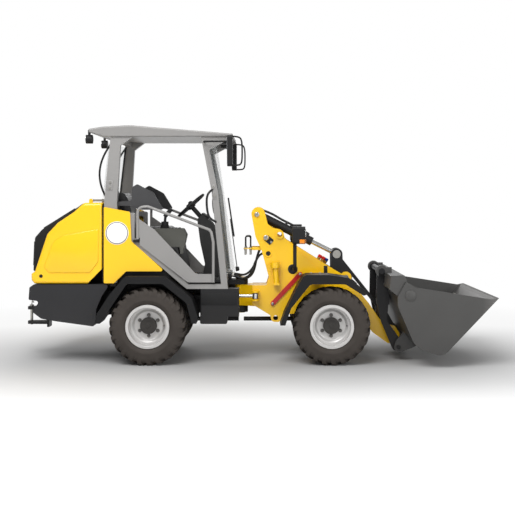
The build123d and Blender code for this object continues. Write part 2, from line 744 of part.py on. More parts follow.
# Drive shafts from the pivot to each axle's pinion
SHAFT_RADIUS = 22
YOKE_X = 26
for shaft_name, shaft_side in [("rear_shaft", -1), ("front_shaft", 1)]:
    with BuildPart() as shaft:
        rod(
            (shaft_side * YOKE_X, 0, AXLE_Z),
            (shaft_side * (WHEELBASE / 2 - PINION_LENGTH), 0, AXLE_Z),
            SHAFT_RADIUS,
        )
    save(shaft, shaft_name)

# Linkage pins in side view: boom foot P, tilt cylinder B, lever V and L, hitch H and M.
# P-B, V-L and H-M are parallel and equal, so the bucket keeps its angle as the boom lifts.
BOOM_PIN = (257.4, 1232.2)
LEVER_PIN = (1080.9, 820.4)
HITCH_PIN = (1552.5, 232.4)
CRANK = (-93.2, 236.6)
TILT_BASE = (BOOM_PIN[0] + CRANK[0], BOOM_PIN[1] + CRANK[1])
LINK_PIN = (LEVER_PIN[0] + CRANK[0], LEVER_PIN[1] + CRANK[1])
HITCH_TOP_PIN = (HITCH_PIN[0] + CRANK[0], HITCH_PIN[1] + CRANK[1])
LIFT_BASE = (375, 470)
LIFT_EYE = (441, 1048)

# Layers of the linkage from the middle outwards
ROD_EYE_Y = 20
LINK_Y = (28, 52)
LEVER_Y = (58, 83)
BOOM_Y = (92, 114)
TOWER_Y = (125, 150)

BIG_PIN = 30
MAIN_PIN = 26
SMALL_PIN = 22

# Front frame: tower plates, pivot block, axle cradle and the pins that carry the linkage
PIVOT_BLOCK_Z = (FORK_LOWER_Z[1] + RUN_GAP, FORK_UPPER_Z[0] - RUN_GAP)
TOWER_WEB_X = (300, 320)
LASH_LOWER = (357, 408)
LASH_UPPER = (398, 1263)
LASH_RADIUS = 26
TOWER_OUTLINE = [
    (95, 1543, 68),
    (233, 1543, 68),
    (275, 1370, 30),
    (330, 1330, 40),
    (425, 1312, 60),
    (452, 1225, 30),
    (815, 872, 25),
    (870, 690, 60),
    (1015, 640, 40),
    (1015, SADDLE_TOP, 20),
    (455, SADDLE_TOP, 20),
    (398, 366, 40),
    (317, 366, 40),
    (300, 436, 20),
    (120, 545, 0),
    (120, 741, 0),
    (262, 741, 15),
    (287, 824, 20),
    (214, 1096, 100),
    (150, 1240, 60),
]
PIVOT_PLAN = [
    (0, -62, 0),
    (130, -TOWER_Y[0], 0),
    (TOWER_WEB_X[1], -TOWER_Y[0], 0),
    (TOWER_WEB_X[1], TOWER_Y[0], 0),
    (130, TOWER_Y[0], 0),
    (0, 62, 0),
]
LIFT_LUG = [
    (TOWER_WEB_X[1], 425, 0),
    (TOWER_WEB_X[1], 520, 0),
    (LIFT_BASE[0] + 20, 510, 30),
    (LIFT_BASE[0] + 42, 470, 30),
    (LIFT_BASE[0] + 20, 428, 30),
]

with BuildPart() as front_frame:
    plate(TOWER_OUTLINE, *TOWER_Y)
    plate(LIFT_LUG, 42, 60)
    block((700, 800), (TOWER_Y[1], FENDER_Y[0]), (812, 838))
    cross_pin(*LASH_UPPER, LASH_RADIUS + 18, TOWER_Y[1], TOWER_Y[1] + 12)
    mirror(about=Plane.XZ)
    for lash_point in (LASH_UPPER, LASH_LOWER):
        cross_pin(*lash_point, LASH_RADIUS, -TOWER_Y[1] - 20, TOWER_Y[1] + 20, Mode.SUBTRACT)
    block(TOWER_WEB_X, (-TOWER_Y[0], TOWER_Y[0]), (425, 900))
    block((450, 1010), (-TOWER_Y[0], TOWER_Y[0]), (515, 535))
    slab(PIVOT_PLAN, *PIVOT_BLOCK_Z)
    upright_pin(0, 0, 62, *PIVOT_BLOCK_Z)
    upright_pin(0, 0, STEER_PIN_RADIUS, FORK_LOWER_Z[0] - 8, FORK_UPPER_Z[1] + 8)
    upright_pin(0, 0, STEER_PIN_RADIUS + 20, FORK_UPPER_Z[1] + 6, FORK_UPPER_Z[1] + 20)
    cross_pin(*BOOM_PIN, BIG_PIN, -TOWER_Y[1] - 14, TOWER_Y[1] + 14)
    cross_pin(*TILT_BASE, MAIN_PIN, -TOWER_Y[1] - 10, TOWER_Y[1] + 10)
    cross_pin(*LIFT_BASE, SMALL_PIN, -60, 60)
    for lug_z in (STEER_Z - STEER_LUG_Z - 16, STEER_Z + STEER_LUG_Z):
        slab(
            [
                (STEER_EYE[0] - 38, -TOWER_Y[1], 0),
                (STEER_EYE[0] - 38, STEER_EYE[1] - 38, 36),
                (STEER_EYE[0] + 38, STEER_EYE[1] - 38, 36),
                (STEER_EYE[0] + 38, -TOWER_Y[1], 0),
            ],
            lug_z,
            lug_z + 16,
        )
    upright_pin(*STEER_EYE, 20, STEER_Z - 60, STEER_Z + 60, Mode.SUBTRACT)
save(front_frame, "front_frame")

# Headlights on bent posts beside the tower
with BuildPart() as headlights:
    bent_tube([(545, TOWER_Y[1], 921), (545, 390, 921), (545, 390, 1185)], 60, 18)
    block((522, 647), (330, 450), (1180, 1352))
    fillet(headlights.edges().filter_by(Axis.X).group_by(SortBy.LENGTH)[-1], 25)
    mirror(about=Plane.XZ)
save(headlights, "headlights")

# Oil filler: neck and cap on a bracket at the right side of the tower
FILLER_Y = -200
with BuildPart() as oil_filler:
    block((335, 395), (FILLER_Y - 28, -TOWER_Y[1]), (748, 768))
    rod((366, FILLER_Y, 760), (353, FILLER_Y, 930), 28)
    rod((353, FILLER_Y, 925), (349, FILLER_Y, 980), 46)
save(oil_filler, "oil_filler")

# Boom lock: flat strut stored on the right tower plate
STRUT_ENDS = ((326, 556), (608, 858))
STRUT_WIDTH = 44
STRUT_THICKNESS = 14
with BuildPart() as lock_strut:
    strut_run = Vector(*STRUT_ENDS[1]) - Vector(*STRUT_ENDS[0])
    strut_middle = (Vector(*STRUT_ENDS[1]) + Vector(*STRUT_ENDS[0])) * 0.5
    with BuildSketch(SIDE.offset(TOWER_Y[1])) as strut_outline:
        with Locations((strut_middle.X, strut_middle.Y)):
            SlotCenterToCenter(
                strut_run.length, STRUT_WIDTH, rotation=math.degrees(math.atan2(strut_run.Y, strut_run.X))
            )
    extrude(amount=STRUT_THICKNESS)
save(lock_strut, "lock_strut")

# Boom: two cranked plates with top and bottom webs and a pivot tube
BOOM_OUTLINE = [
    (205, 1305, 60),
    (320, 1300, 60),
    (815, 990, 200),
    (1103, 815, 160),
    (1315, 557, 150),
    (1425, 395, 60),
    (1490, 338, 40),
    (1585, 325, 50),
    (1640, 232, 50),
    (1590, 143, 40),
    (1510, 143, 40),
    (1353, 256, 60),
    (1180, 480, 150),
    (960, 660, 200),
    (700, 815, 100),
    (200, 1165, 60),
]
BOOM_TOP_WEB = [(430, 1212, 0), (815, 972, 0), (900, 920, 0), (890, 901, 0), (815, 948, 0), (430, 1188, 0)]
BOOM_BOTTOM_WEB = [
    (706, 832, 0), (969, 675, 0), (1190, 496, 0), (1320, 330, 0),
    (1336, 342, 0), (1205, 509, 0), (978, 691, 0), (713, 848, 0),
]
with BuildPart() as boom:
    plate(BOOM_OUTLINE, *BOOM_Y)
    cross_pin(*LEVER_PIN, 58, BOOM_Y[0], BOOM_Y[1])
    mirror(about=Plane.XZ)
    plate(BOOM_TOP_WEB, -BOOM_Y[0], BOOM_Y[0])
    plate(BOOM_BOTTOM_WEB, -BOOM_Y[0], BOOM_Y[0])
    cross_pin(*BOOM_PIN, 56, -TOWER_Y[0] + RUN_GAP, TOWER_Y[0] - RUN_GAP)
    cross_pin(*BOOM_PIN, BIG_PIN + PIN_GAP, -TOWER_Y[1], TOWER_Y[1], Mode.SUBTRACT)
    for pin_place in (LEVER_PIN, HITCH_PIN):
        cross_pin(*pin_place, MAIN_PIN + PIN_GAP, -TOWER_Y[1], TOWER_Y[1], Mode.SUBTRACT)
save(boom, "boom")

# Tilt lever: two plates that stand on the boom, with the pins at their feet and heads
LEVER_OUTLINE = [
    (928, 1116, 58),
    (1047, 1116, 58),
    (1052, 980, 40),
    (1134, 850, 52),
    (1128, 766, 52),
    (1030, 770, 52),
    (932, 900, 60),
]
with BuildPart() as tilt_lever:
    plate(LEVER_OUTLINE, *LEVER_Y)
    cross_pin(*LEVER_PIN, MAIN_PIN + PIN_GAP, *LEVER_Y, Mode.SUBTRACT)
    cross_pin(*LINK_PIN, SMALL_PIN + PIN_GAP, *LEVER_Y, Mode.SUBTRACT)
    mirror(about=Plane.XZ)
save(tilt_lever, "tilt_lever")

# Main pins run through the boom plates; a spacer collar fills the middle of each pin
PIN_END = 8
LEVER_COLLAR = 75
LEVER_COLLAR_Y = 24
with BuildPart() as lever_pin:
    cross_pin(*LEVER_PIN, MAIN_PIN, -BOOM_Y[1] - PIN_END, BOOM_Y[1] + PIN_END)
    cross_pin(*LEVER_PIN, LEVER_COLLAR, -LEVER_COLLAR_Y, LEVER_COLLAR_Y)
save(lever_pin, "lever_pin")

LINK_WASHER = 42
LINK_WASHER_Y = (LEVER_Y[1] + 0.5, LEVER_Y[1] + PIN_END)
with BuildPart() as link_pins:
    cross_pin(*LINK_PIN, SMALL_PIN, LINK_Y[0] - 4, LINK_WASHER_Y[1])
    cross_pin(*LINK_PIN, LINK_WASHER, *LINK_WASHER_Y)
    mirror(about=Plane.XZ)
save(link_pins, "link_pins")

# Tilt link: a pair of flat bars from the lever to the head of the quick hitch
LINK_WIDTH = 34
LINK_EYE = 40
with BuildPart() as tilt_link:
    link_run = Vector(*HITCH_TOP_PIN) - Vector(*LINK_PIN)
    link_middle = (Vector(*HITCH_TOP_PIN) + Vector(*LINK_PIN)) * 0.5
    with BuildSketch(SIDE.offset(-LINK_Y[1])) as link_outline:
        with Locations((link_middle.X, link_middle.Y)):
            Rectangle(
                link_run.length, LINK_WIDTH, rotation=math.degrees(math.atan2(link_run.Y, link_run.X))
            )
        with Locations(LINK_PIN, HITCH_TOP_PIN):
            Circle(LINK_EYE)
            Circle(SMALL_PIN + PIN_GAP, mode=Mode.SUBTRACT)
    extrude(amount=LINK_Y[1] - LINK_Y[0])
    mirror(about=Plane.XZ)
save(tilt_link, "tilt_link")

# Quick hitch: inner ears on the boom, outer arms with hook bar and lock pins for the bucket
HITCH_EAR = [
    (1408, 570, 20),
    (1500, 570, 20),
    (1506, 470, 60),
    (1600, 300, 60),
    (1606, 175, 52),
    (1500, 175, 52),
    (1408, 430, 60),
]
HITCH_ARM_Y = (268, 292)
HOOK_BAR = (1420, 902)
HOOK_BAR_RADIUS = 30
LOCK_PIN = (1587, 141)
LOCK_PIN_RADIUS = 22
HITCH_BEAM_X = (1424, 1504)
HITCH_BEAM_Z = (562, 660)
HOOK_Y = (300, 330)
HITCH_ARM = [
    (1378, 942, 40),
    (1462, 942, 40),
    (1478, 800, 60),
    (1500, 650, 60),
    (1478, 400, 60),
    (1632, 185, 45),
    (1632, 96, 42),
    (1542, 96, 42),
    (1415, 400, 80),
    (1372, 600, 80),
]
with BuildPart() as quick_hitch:
    plate(HITCH_EAR, *LEVER_Y)
    plate(HITCH_ARM, *HITCH_ARM_Y)
    cross_pin(*LOCK_PIN, LOCK_PIN_RADIUS, HITCH_ARM_Y[0], HOOK_Y[1] + 12)
    mirror(about=Plane.XZ)
    block(HITCH_BEAM_X, (-HITCH_ARM_Y[1], HITCH_ARM_Y[1]), HITCH_BEAM_Z)
    cross_pin(*HOOK_BAR, HOOK_BAR_RADIUS, -HOOK_Y[1] - 10, HOOK_Y[1] + 10)
    cross_pin(*HITCH_TOP_PIN, SMALL_PIN, -LEVER_Y[1], LEVER_Y[1])
    cross_pin(*HITCH_PIN, MAIN_PIN + PIN_GAP, -LEVER_Y[1], LEVER_Y[1], Mode.SUBTRACT)
save(quick_hitch, "quick_hitch")

HITCH_COLLAR = 66
HITCH_COLLAR_Y = 54
with BuildPart() as hitch_pin:
    cross_pin(*HITCH_PIN, MAIN_PIN, -BOOM_Y[1] - PIN_END, BOOM_Y[1] + PIN_END)
    cross_pin(*HITCH_PIN, HITCH_COLLAR, -HITCH_COLLAR_Y, HITCH_COLLAR_Y)
save(hitch_pin, "hitch_pin")

# Bucket: curved shell with side plates, top beam, hooks and lower ears
BUCKET_SIDE = 20
BUCKET_OUTER = [
    (BUCKET_TIP_X, 678, 0),
    (1950, 112, 110),
    (1690, 205, 180),
    (1518, 600, 160),
    (1518, 690, 0),
    (1600, 833, 0),
    (1701, 775, 80),
    (2421, 664, 0),
]
BUCKET_INNER = [
    (BUCKET_TIP_X - 9, 693, 0),
    (1947, 131, 98),
    (1700, 219, 168),
    (1533, 602, 150),
    (1533, 687, 0),
    (1618, 838, 0),
    (1900, 1000, 0),
    (2500, 1000, 0),
]
BUCKET_BEAM = [(1440, 760, 10), (1460, 890, 10), (1585, 895, 10), (1612, 840, 0), (1526, 690, 0)]
BUCKET_EAR = [
    (1720, 205, 0),
    (1640, 290, 0),
    (1560, 195, 40),
    (1536, 96, 44),
    (1625, 92, 40),
    (1800, 165, 0),
]
HOOK_OUTER = 30
with BuildPart() as bucket:
    plate(BUCKET_OUTER, -BUCKET_HALF_WIDTH, BUCKET_HALF_WIDTH)
    plate(BUCKET_EAR, *HOOK_Y)
    plate(BUCKET_EAR, -HOOK_Y[1], -HOOK_Y[0])
    plate(BUCKET_INNER, -BUCKET_HALF_WIDTH + BUCKET_SIDE, BUCKET_HALF_WIDTH - BUCKET_SIDE, Mode.SUBTRACT)
    plate(BUCKET_BEAM, -BUCKET_HALF_WIDTH + BUCKET_SIDE, BUCKET_HALF_WIDTH - BUCKET_SIDE)
    for pocket_y in ((HITCH_ARM_Y[0] - 6, HOOK_Y[0]), (-HOOK_Y[0], -HITCH_ARM_Y[0] + 6)):
        block((1400, 1503), pocket_y, (700, 1000), Mode.SUBTRACT)
    for hook_y in (HOOK_Y, (-HOOK_Y[1], -HOOK_Y[0])):
        cross_pin(*HOOK_BAR, HOOK_BAR_RADIUS + HOOK_OUTER, *hook_y)
        block((HOOK_BAR[0], 1520), hook_y, (HOOK_BAR[1] - 40, HOOK_BAR[1] + 40))
        cross_pin(*HOOK_BAR, HOOK_BAR_RADIUS + PIN_GAP, *hook_y, Mode.SUBTRACT)
        block(
            (HOOK_BAR[0] - HOOK_BAR_RADIUS - PIN_GAP, HOOK_BAR[0] + HOOK_BAR_RADIUS + PIN_GAP),
            hook_y,
            (HOOK_BAR[1] - 120, HOOK_BAR[1]),
            Mode.SUBTRACT,
        )
        cross_pin(*LOCK_PIN, LOCK_PIN_RADIUS + PIN_GAP, *hook_y, Mode.SUBTRACT)
save(bucket, "bucket")


def cylinder_barrel(base, tip, radius, eye_radius, bore, mouth, depth):
    """Barrel of a ram: eye on its base pin, blind bore for the rod from depth to the mouth."""
    run = (tip - base).normalized()
    rod(tuple(base + run * (eye_radius - 8)), tuple(base + run * mouth), radius)
    rod(tuple(base + run * depth), tuple(base + run * (mouth + 10)), bore, Mode.SUBTRACT)


def cylinder_rod(base, tip, radius, start, eye_radius):
    """Rod of a ram from inside the barrel to its eye."""
    run = (tip - base).normalized()
    length = (tip - base).length
    rod(tuple(base + run * start), tuple(base + run * (length - eye_radius + 6)), radius)


# Rams: name, base pin, rod eye, barrel radius, rod radius, eye radius, half width of the eyes,
# base pin radius, barrel mouth, bore depth and rod start as distances from the base pin
RAMS = [
    ("tilt", TILT_BASE, LINK_PIN, 45, 24, 46, ROD_EYE_Y, MAIN_PIN, 640, 200, 215),
    ("lift", LIFT_BASE, LIFT_EYE, 38, 20, 38, 36, SMALL_PIN, 525, 60, 75),
]
for ram, base, tip, barrel_r, rod_r, eye_r, eye_half, pin_r, mouth, depth, start in RAMS:
    base_point = Vector(base[0], 0, base[1])
    tip_point = Vector(tip[0], 0, tip[1])
    with BuildPart() as barrel:
        cylinder_barrel(base_point, tip_point, barrel_r, eye_r, rod_r + PIN_GAP, mouth, depth)
        cross_pin(*base, eye_r, -eye_half, eye_half)
        cross_pin(*base, pin_r + PIN_GAP, -eye_half, eye_half, Mode.SUBTRACT)
    save(barrel, f"{ram}_barrel")
    with BuildPart() as piston_rod:
        cylinder_rod(base_point, tip_point, rod_r, start, eye_r - 8)
        cross_pin(*tip, eye_r - 8, -ROD_EYE_Y, ROD_EYE_Y)
        cross_pin(*tip, SMALL_PIN + 1, -ROD_EYE_Y, ROD_EYE_Y, Mode.SUBTRACT)
    save(piston_rod, f"{ram}_rod")

# Steering ram: lies flat between the bulkhead of the rear frame and the front tower
STEER_BARREL = 30
STEER_ROD = 16
STEER_RAM_EYE = 34
STEER_PIN = 20
with BuildPart() as steer_barrel:
    cylinder_barrel(
        Vector(*STEER_BASE, STEER_Z), Vector(*STEER_EYE, STEER_Z),
        STEER_BARREL, STEER_RAM_EYE, STEER_ROD + PIN_GAP, 430, 130,
    )
    upright_pin(*STEER_BASE, STEER_RAM_EYE, STEER_Z - 28, STEER_Z + 28)
    upright_pin(*STEER_BASE, STEER_PIN, STEER_Z - STEER_LUG_Z - 16, STEER_Z + STEER_LUG_Z + 16)
save(steer_barrel, "steer_barrel")
with BuildPart() as steer_rod:
    cylinder_rod(Vector(*STEER_BASE, STEER_Z), Vector(*STEER_EYE, STEER_Z), STEER_ROD, 290, STEER_RAM_EYE)
    upright_pin(*STEER_EYE, STEER_RAM_EYE, STEER_Z - 24, STEER_Z + 24)
    upright_pin(*STEER_EYE, STEER_PIN + 1, STEER_Z - 40, STEER_Z + 40, Mode.SUBTRACT)
save(steer_rod, "steer_rod")
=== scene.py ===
import math

import bmesh
import bpy
from mathutils import Matrix, Vector


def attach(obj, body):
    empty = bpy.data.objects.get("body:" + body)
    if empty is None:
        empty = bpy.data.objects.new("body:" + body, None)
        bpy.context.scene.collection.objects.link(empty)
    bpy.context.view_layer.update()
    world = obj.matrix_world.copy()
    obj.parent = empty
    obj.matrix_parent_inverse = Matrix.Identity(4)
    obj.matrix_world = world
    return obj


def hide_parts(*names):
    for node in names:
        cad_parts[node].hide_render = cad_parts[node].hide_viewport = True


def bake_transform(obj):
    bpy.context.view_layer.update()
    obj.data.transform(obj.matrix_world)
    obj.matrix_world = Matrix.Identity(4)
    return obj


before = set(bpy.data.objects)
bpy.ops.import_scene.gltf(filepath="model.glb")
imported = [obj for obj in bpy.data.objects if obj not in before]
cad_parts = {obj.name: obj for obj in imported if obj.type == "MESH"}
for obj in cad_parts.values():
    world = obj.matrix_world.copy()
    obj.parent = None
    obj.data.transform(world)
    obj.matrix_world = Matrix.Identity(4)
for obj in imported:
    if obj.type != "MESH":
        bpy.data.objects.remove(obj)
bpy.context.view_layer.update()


# Frames, axles and engine: welded plate and castings, sprayed in one coat before assembly.
# The coat has a faint orange peel, dust lies on faces that look up, and low plate is grimy.
# Every later finish is built with the same small class, so it is given here.
class Field:
    """A value that varies over a surface: arithmetic on it adds Math nodes."""

    def __init__(self, tree, socket):
        self.tree = tree
        self.socket = socket

    def node(self, kind, settings, inputs, output=0):
        """Add a node: its settings first, then the values or links of its sockets."""
        made = self.tree.nodes.new(kind)
        for key, value in settings.items():
            setattr(made, key, value)
        for key, value in inputs.items():
            if isinstance(value, Field):
                self.tree.links.new(value.socket, made.inputs[key])
            else:
                made.inputs[key].default_value = value
        return Field(self.tree, made.outputs[output])

    def math(self, operation, first, second=0.0, clamp=False):
        settings = {"operation": operation, "use_clamp": clamp}
        return self.node("ShaderNodeMath", settings, {0: first, 1: second})

    def __add__(self, other):
        return self.math("ADD", self, other)

    __radd__ = __add__

    def __mul__(self, other):
        return self.math("MULTIPLY", self, other)

    __rmul__ = __mul__

    def __sub__(self, other):
        return self.math("SUBTRACT", self, other)

    def __rsub__(self, other):
        return self.math("SUBTRACT", other, self)

    def held(self):
        """The same value kept between 0 and 1."""
        return self.math("ADD", self, 0.0, True)

    def blend(self, low, high):
        """Colour between low, where this is 0, and high, where it is 1."""
        return self.node("ShaderNodeMix", {"data_type": "RGBA"}, {0: self, 6: low, 7: high}, 2)

    def noise(self, scale, detail=3.0):
        return self.node("ShaderNodeTexNoise", {}, {"Vector": self, "Scale": scale, "Detail": detail})

    def axis(self, letter):
        return self.node("ShaderNodeSeparateXYZ", {}, {0: self}, letter)


def opaque(colour, level=1.0):
    """Colour with its fourth channel, lightened or darkened by level."""
    return tuple(channel * level for channel in colour) + (1.0,)


def new_finish(name, **constants):
    """Material with its shader and two fields: place on the piece, and the way its surface looks."""
    material = bpy.data.materials.new(name)
    material.use_nodes = True
    tree = material.node_tree
    shader = tree.nodes["Principled BSDF"]
    for key, value in constants.items():
        shader.inputs[key.replace("_", " ").title().replace("Ior", "IOR")].default_value = value
    coordinates = tree.nodes.new("ShaderNodeTexCoord")
    place = Field(tree, coordinates.outputs["Object"])
    outward = Field(tree, coordinates.outputs["Normal"])
    return material, shader, place, outward


def feed(shader, socket, field):
    field.tree.links.new(field.socket, shader.inputs[socket])


def roughen(shader, height, strength, distance):
    """Bump from a height field into the shader's normal."""
    feed(shader, "Normal", height.node(
        "ShaderNodeBump", {}, {"Strength": strength, "Distance": distance, "Height": height}))


def sprayed(name, colour, roughness=0.36, dust=0.02, grime=0.06, coat=0.2, shine=0.5):
    """Sprayed enamel on steel: cloudy tone, dust on top faces, grime near the ground, orange peel."""
    material, shader, place, outward = new_finish(
        name, coat_weight=coat, coat_roughness=0.12, specular_ior_level=shine)
    cloud = place.noise(3.1, 5.0)
    speckle = place.noise(240.0, 2.0)
    dusty = (outward.axis("Z") * dust * (cloud + speckle)).held()
    low = ((0.75 - place.axis("Z")) * grime * 1.6 * (cloud + 0.2)).held()
    tone = cloud.blend(opaque(colour, 0.93), opaque(colour, 1.06))
    tone = dusty.blend(tone, (0.42, 0.37, 0.30, 1))
    tone = low.blend(tone, (0.13, 0.105, 0.08, 1))
    feed(shader, "Base Color", tone)
    feed(shader, "Roughness", roughness + 0.10 * (speckle - 0.5) + 0.5 * dusty + 0.6 * low)
    roughen(shader, place.noise(430.0, 1.0), 0.05, 0.001)
    return material


def dress(material, *names):
    for name in names:
        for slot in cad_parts[name].material_slots:
            slot.material = material


yellow_enamel = sprayed("yellow_enamel", (0.90, 0.53, 0.003), 0.30, coat=0.35)
black_enamel = sprayed("black_enamel", (0.010, 0.010, 0.011), 0.42, coat=0.05, shine=0.3)
chassis_enamel = sprayed("chassis_enamel", (0.011, 0.011, 0.012), 0.50, coat=0.0, shine=0.25)
dress(yellow_enamel, "front_frame", "boom", "engine_hood", "side_panels")
dress(chassis_enamel, "rear_frame", "rear_axle", "front_axle", "engine", "rear_shaft", "front_shaft")
dress(black_enamel, "tow_hitch", "tilt_lever", "tilt_link", "tilt_barrel", "lift_barrel", "steer_barrel")


# Counterweight and rear casting: iron poured in sand, so its skin is lightly pitted under
# a thick anthracite coat.
def cast_iron(name, colour):
    material, shader, place, outward = new_finish(name, specular_ior_level=0.3)
    cloud = place.noise(4.0, 6.0)
    pits = place.noise(95.0, 4.0)
    low = ((0.62 - place.axis("Z")) * 0.2 * cloud).held()
    tone = cloud.blend(opaque(colour, 0.86), opaque(colour, 1.14))
    feed(shader, "Base Color", low.blend(tone, (0.11, 0.095, 0.08, 1)))
    feed(shader, "Roughness", 0.44 + 0.25 * (pits - 0.5) + 0.4 * low)
    roughen(shader, pits, 0.25, 0.002)
    return material


dress(cast_iron("anthracite_casting", (0.022, 0.022, 0.024)), "counterweight")


# Wheels: each tyre is a moulded carcass with 24 bars a side that run from the middle round
# the shoulder. It is one rubber piece, turned from its section, with the bars set on it.
# The steel rim inside it is silver, with a dark hub cover, six wheel nuts and a valve.
TYRE_MIDDLE = 470
AXLE_HEIGHT = 380
BARS = 24
BAR_DEPTH = 26
CARCASS = [
    (102.5, 197), (102.5, 217), (112, 221), (124, 236), (130, 256), (132, 262), (130.5, 268), (131, 300),
    (127, 328), (117, 346), (100, 353), (62, 356), (20, 357),
]
HUB_COVER = [
    (4.5, 79.4), (4.5, 82), (40, 82), (47.5, 75), (48.5, 56), (46.5, 52), (46.5, 22), (50, 19), (50, 0),
    (45.5, 0), (45.5, 79.4),
]
WHEEL_NUTS = 6
NUT_CIRCLE = 102.5
NUT_SEAT = 4
NUT_SIZE = (30, 24)
VALVE_SPOT = (152, 30)
VALVE = [(-8, 0), (-8, 6), (14, 6), (16, 4.5), (26, 4.5), (26, 0)]
BAR_RUN = [
    (6, 380, 0.0, 14), (55, 380, 5.0, 15), (92, 377, 9.4, 17), (116, 366, 12.4, 20), (131, 330, 13.4, 21),
]
WHEELS = [
    ("front_right", 900, -1), ("front_left", 900, 1), ("rear_right", -900, -1), ("rear_left", -900, 1),
]
PIVOT_STATION = 133


def at(x, y, z):
    """Point in the frame from millimetres, x measured from the steering pivot."""
    return Vector(((x - PIVOT_STATION) / 1000, y / 1000, z / 1000))


def show(name, built, material, body, smooth=38):
    """Finished piece from a bmesh: outward faces, smooth but for real edges, riding on its body."""
    bmesh.ops.recalc_face_normals(built, faces=built.faces)
    mesh = bpy.data.meshes.new(name)
    built.to_mesh(mesh)
    built.free()
    mesh.polygons.foreach_set("use_smooth", [True] * len(mesh.polygons))
    mesh.set_sharp_from_angle(angle=math.radians(smooth))
    mesh.materials.append(material)
    piece = bpy.data.objects.new(name, mesh)
    bpy.context.scene.collection.objects.link(piece)
    if body:
        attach(piece, body)
    return piece


def turned(built, rows, centre, axis, steps, closed):
    """Revolve rows of distance along the axis and radius, in mm, about a line through centre."""
    axis = Vector(axis)
    out = axis.orthogonal().normalized()
    section = [
        built.verts.new(centre + axis * (along / 1000) + out * (radius / 1000)) for along, radius in rows]
    pairs = list(zip(section, section[1:]))
    if closed:
        pairs.append((section[-1], section[0]))
    edges = [built.edges.new(pair) for pair in pairs]
    bmesh.ops.spin(
        built, geom=section + edges, cent=centre, axis=axis, angle=math.tau, steps=steps, use_merge=True)
    bmesh.ops.remove_doubles(built, verts=built.verts, dist=0.00002)


def tyre_rubber(name):
    material, shader, place, outward = new_finish(name, specular_ior_level=0.2)
    cloud = place.noise(9.0, 6.0)
    grain = place.noise(330.0, 3.0)
    across = place.axis("Y")
    tone = cloud.blend((0.032, 0.027, 0.024, 1), (0.056, 0.048, 0.043, 1))
    feed(shader, "Base Color", (0.2 * grain).held().blend(tone, (0.085, 0.072, 0.058, 1)))
    feed(shader, "Roughness", 0.72 + 0.2 * (grain - 0.5))
    roughen(shader, grain + 0.5 * across.math("SINE", across * 900.0), 0.12, 0.001)
    return material


def rim_lacquer(name):
    material, shader, place, outward = new_finish(name, coat_weight=0.15)
    cloud = place.noise(14.0, 5.0)
    grain = place.noise(600.0, 2.0)
    tone = cloud.blend((0.50, 0.49, 0.48, 1), (0.66, 0.65, 0.64, 1))
    feed(shader, "Base Color", (0.4 * (cloud - 0.45)).held().blend(tone, (0.30, 0.26, 0.22, 1)))
    feed(shader, "Metallic", 0.25 + 0.3 * cloud)
    feed(shader, "Roughness", 0.36 + 0.2 * (grain - 0.5))
    roughen(shader, grain, 0.05, 0.001)
    return material


def zinc(name, colour=(0.42, 0.41, 0.38), roughness=0.34):
    """Plated fastener: bright, a little mottled."""
    material, shader, place, outward = new_finish(name, metallic=0.9)
    mottle = place.noise(160.0, 4.0)
    feed(shader, "Base Color", mottle.blend(opaque(colour, 0.8), opaque(colour, 1.15)))
    feed(shader, "Roughness", roughness + 0.25 * (mottle - 0.5))
    roughen(shader, mottle, 0.06, 0.0005)
    return material


def nut(built, centre, direction, across, height):
    """Hexagon head on a washer: across is its width over the points, in mm."""
    turn = Vector(direction).to_track_quat("Z", "Y").to_matrix().to_4x4()
    out = Vector(direction).normalized()
    washer = (24, across * 0.62, 0, height * 0.22)
    head = (6, across / 2, height * 0.2, height)
    for segments, radius, low, high in (washer, head):
        middle = centre + out * ((low + high) / 2000)
        made = bmesh.ops.create_cone(
            built, cap_ends=True, segments=segments, radius1=radius / 1000, radius2=radius * 0.96 / 1000,
            depth=(high - low) / 1000, matrix=Matrix.Translation(middle) @ turn)
        rim = {edge for vert in made["verts"] for edge in vert.link_edges if edge.calc_face_angle(0) > 0.8}
        bmesh.ops.bevel(
            built, geom=list(rim), offset=height * 0.04 / 1000, affect="EDGES", segments=1, profile=0.5,
            material=-1)


